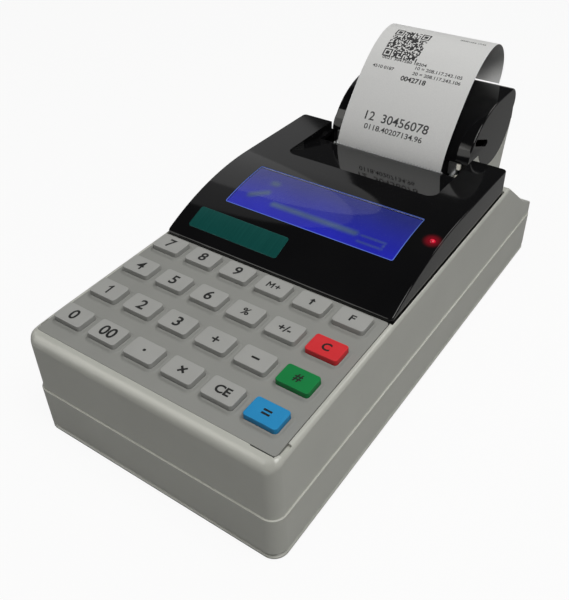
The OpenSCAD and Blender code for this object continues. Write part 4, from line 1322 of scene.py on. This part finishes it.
def cut_openings(case):
    """Seats, notches and key holes on the keypad plane, then the openings of the printer."""
    cut(case, lay_on_rim(plan_prism("mat_seat", rounded(-56.2, 56.2, 5.55, 82.8, 1.4), -1.5, 9)))
    for low, high in (((55.2, 7.0), (57.5, 12.4)), ((46.0, 5.2), (55.6, 5.8)), ((-56.6, 8.2), (-55.8, 11.9))):
        cut(case, lay_on_rim(block("notch", (*low, -1.6), (*high, 9))))
    holes = repeat_at_keys(plan_prism("holes", rounded(-7.0, 7.0, -4.75, 4.75, 1.95), -4.4, 1))
    cut(case, lay_on_rim(holes))
    cut(case, lay_on_rim(block("cover_seat", (-57.3, 79.4, -2.2), (57.3, 190.5, 20))))
    cut(case, lay_on_rim(block("opening", (-54.4, 96, -20), (54.4, 188, 20))))
    roll_space = [(193, SEAM_Z - 5), (193, 80), (240.6, 80)] + tower_back(WALL)
    cut(case, side_prism("roll_space", roll_space, WALL - LID_HALF, LID_HALF - WALL))
    cut(case, block("hinge_gap", (-28.5, 237, HINGE[1] - 2.8), (28.5, 246, 76)))
    cut(case, block("paper_way", (-30, 190, 41), (30, 194, 49)))
    cut(case, block("platen_way", (-40, 185, 44), (40, 191, 70)))

def add_eyes(case):
    for x0, x1 in mirrored_spans(18.3, 28):
        web = from_hinge(((-2.2, 0.6), (-3.6, -5), (-4, -9.5), (-2.6, -11), (2.2, -0.6)))
        eyelet = weld(rod("eye", HINGE, 2.3, x0, x1), side_prism("web", web, x0 + 0.02, x1 - 0.02))
        join([case, cut(eyelet, rod("bore", HINGE, 1.05, x0 - 1, x1 + 1, 24))])

weld_on(case)
cut_openings(case)
soften(case, 0.15, 1, 50)
add_eyes(case)
hand_over(case, "upper_case", angle=38)

# %% [markdown]
# A black blind stands behind the platen as painted shade: it darkens the view into the roll
# space. A small pale tab in front of it steers the paper's right edge. Both show only through the slot.

# %% Blind and tab
def make_blind():
    tab = side_prism("paper_tab", [(189.4, 62.0), (186.6, 62.4), (188.0, 64.6), (189.4, 64.6)], 29.2, 34.6)
    # a black sheet that stands in for the shade inside the roll space
    blind = block("shade_blind", (-38, 189.45, 53.9), (38, 190.8, 64.6))
    for piece, paint, edge in ((tab, "gear_plastic", 0.1), (blind, "dark_plastic", 0.2)):
        soften(piece, edge, 2, 40)
        piece.data.materials.append(PAINTS[paint])
        settle(piece, "register")

make_blind()

# %% [markdown]
# The lower case and most pieces inside already have the right walls and openings, so each
# starts as a copy of its solid. The copy's loose triangles are merged and its flat areas are
# dissolved into single faces. One fine bevel then breaks every sharp edge, because a moulded
# or stamped edge is never razor sharp and shows as a thin line of light.

# %% From the solids
def copy_solid(node, name):
    clear()
    piece = twin_of(parts[node])
    for key in list(piece.keys()):
        del piece[key]
    piece.parent = None
    piece.name = name
    with editing(piece):
        everything()
        bpy.ops.mesh.remove_doubles(threshold=0.002 * MM)
        bpy.ops.mesh.dissolve_limited(angle_limit=math.radians(0.6))
    return piece

print("ready to copy", len(parts), "solids")

# %% [markdown]
# The lower case gets two touches of its own: a wider rounding along the lip of the seam, which
# draws the bright line between the halves, and a wider groove with a slope below it, just
# above the foot.

# %% Lower case
def on_seam_lip(edge):
    """True for the outer upper edge of the lower case, all the way round."""
    spot = middle(edge) / MM
    x, y = abs(spot.x), spot.y + HALF_LENGTH
    inward = y if y < 120 else LOWER_LONG - y
    outside = x > CASE_HALF - 0.4 or inward < 0.4 or (
        min(CASE_HALF - x, inward) < 1.9 and math.hypot(CASE_HALF - CORNER - x, CORNER - inward) > 5.7)
    return abs(spot.z - SEAM_Z) < 0.02 and outside and abs(edge.verts[0].co.z - edge.verts[1].co.z) < 1e-6

def cut_ring(piece, core, z0, z1):
    """Cuts the space round a core, between two heights."""
    cut(piece, cut(plan_prism("ring", rounded(-80, 80, -20, 260, 6), z0, z1), core))

def make_lower():
    lower = copy_solid("lower_case", "shell_lower")
    with editing(lower, "EDGE"):
        pick("edges", on_seam_lip)
        round_off(0.25, 2)
    deep = 1.15
    inner = rounded(deep - CASE_HALF, CASE_HALF - deep, deep, LOWER_LONG - deep, CORNER - deep, 10)
    cut_ring(lower, plan_prism("core", inner, 1, 5), 2.35, 3.5)
    core = plan_prism("core", rounded(-CASE_HALF, CASE_HALF, 0, LOWER_LONG, CORNER, 10), 1.6, 2.4)
    with editing(core):
        pick("faces", faces_up)
        bpy.ops.transform.resize(value=(1 - 0.8 / CASE_HALF, 1 - 1.6 / LOWER_LONG, 1))
    cut_ring(lower, core, 1.62, 2.36)
    hand_over(soften(lower, 0.15, 1, 35), "lower_case")

make_lower()

# %% [markdown]
# The same treatment serves the pieces that are hidden at rest or sit underneath. Each gets
# a rounding that fits how it is made: wide for rubber and moulded covers, fine for stamped
# steel, and hardly any for the teeth of the gears.

# %% Pieces inside and underneath
ROUNDED = {
    "rubber_feet": (0.35, 3), "battery_door": (0.25, 2), "battery_pack": (0.5, 3), "roll_bin": (0.3, 2),
    "printer_frame": (0.15, 2), "print_head": (0.12, 2), "tear_bar": (0.06, 2), "head_spring": (0.05, 1),
    "platen_roller": (0.2, 2), "platen_gear": (0.05, 1), "idler_gear": (0.05, 1), "motor_pinion": (0.04, 1),
    "step_motor": (0.3, 2), "power_jack": (0.2, 2), "data_port": (0.15, 2), "case_screws": (0.12, 2),
    "hinge_pin": (0.15, 2), "beeper": (0.2, 2), "roll_core": (0.1, 1)}

for node, (width, segments) in ROUNDED.items():
    hand_over(soften(copy_solid(node, node + "_edged"), width, segments, 35), node)
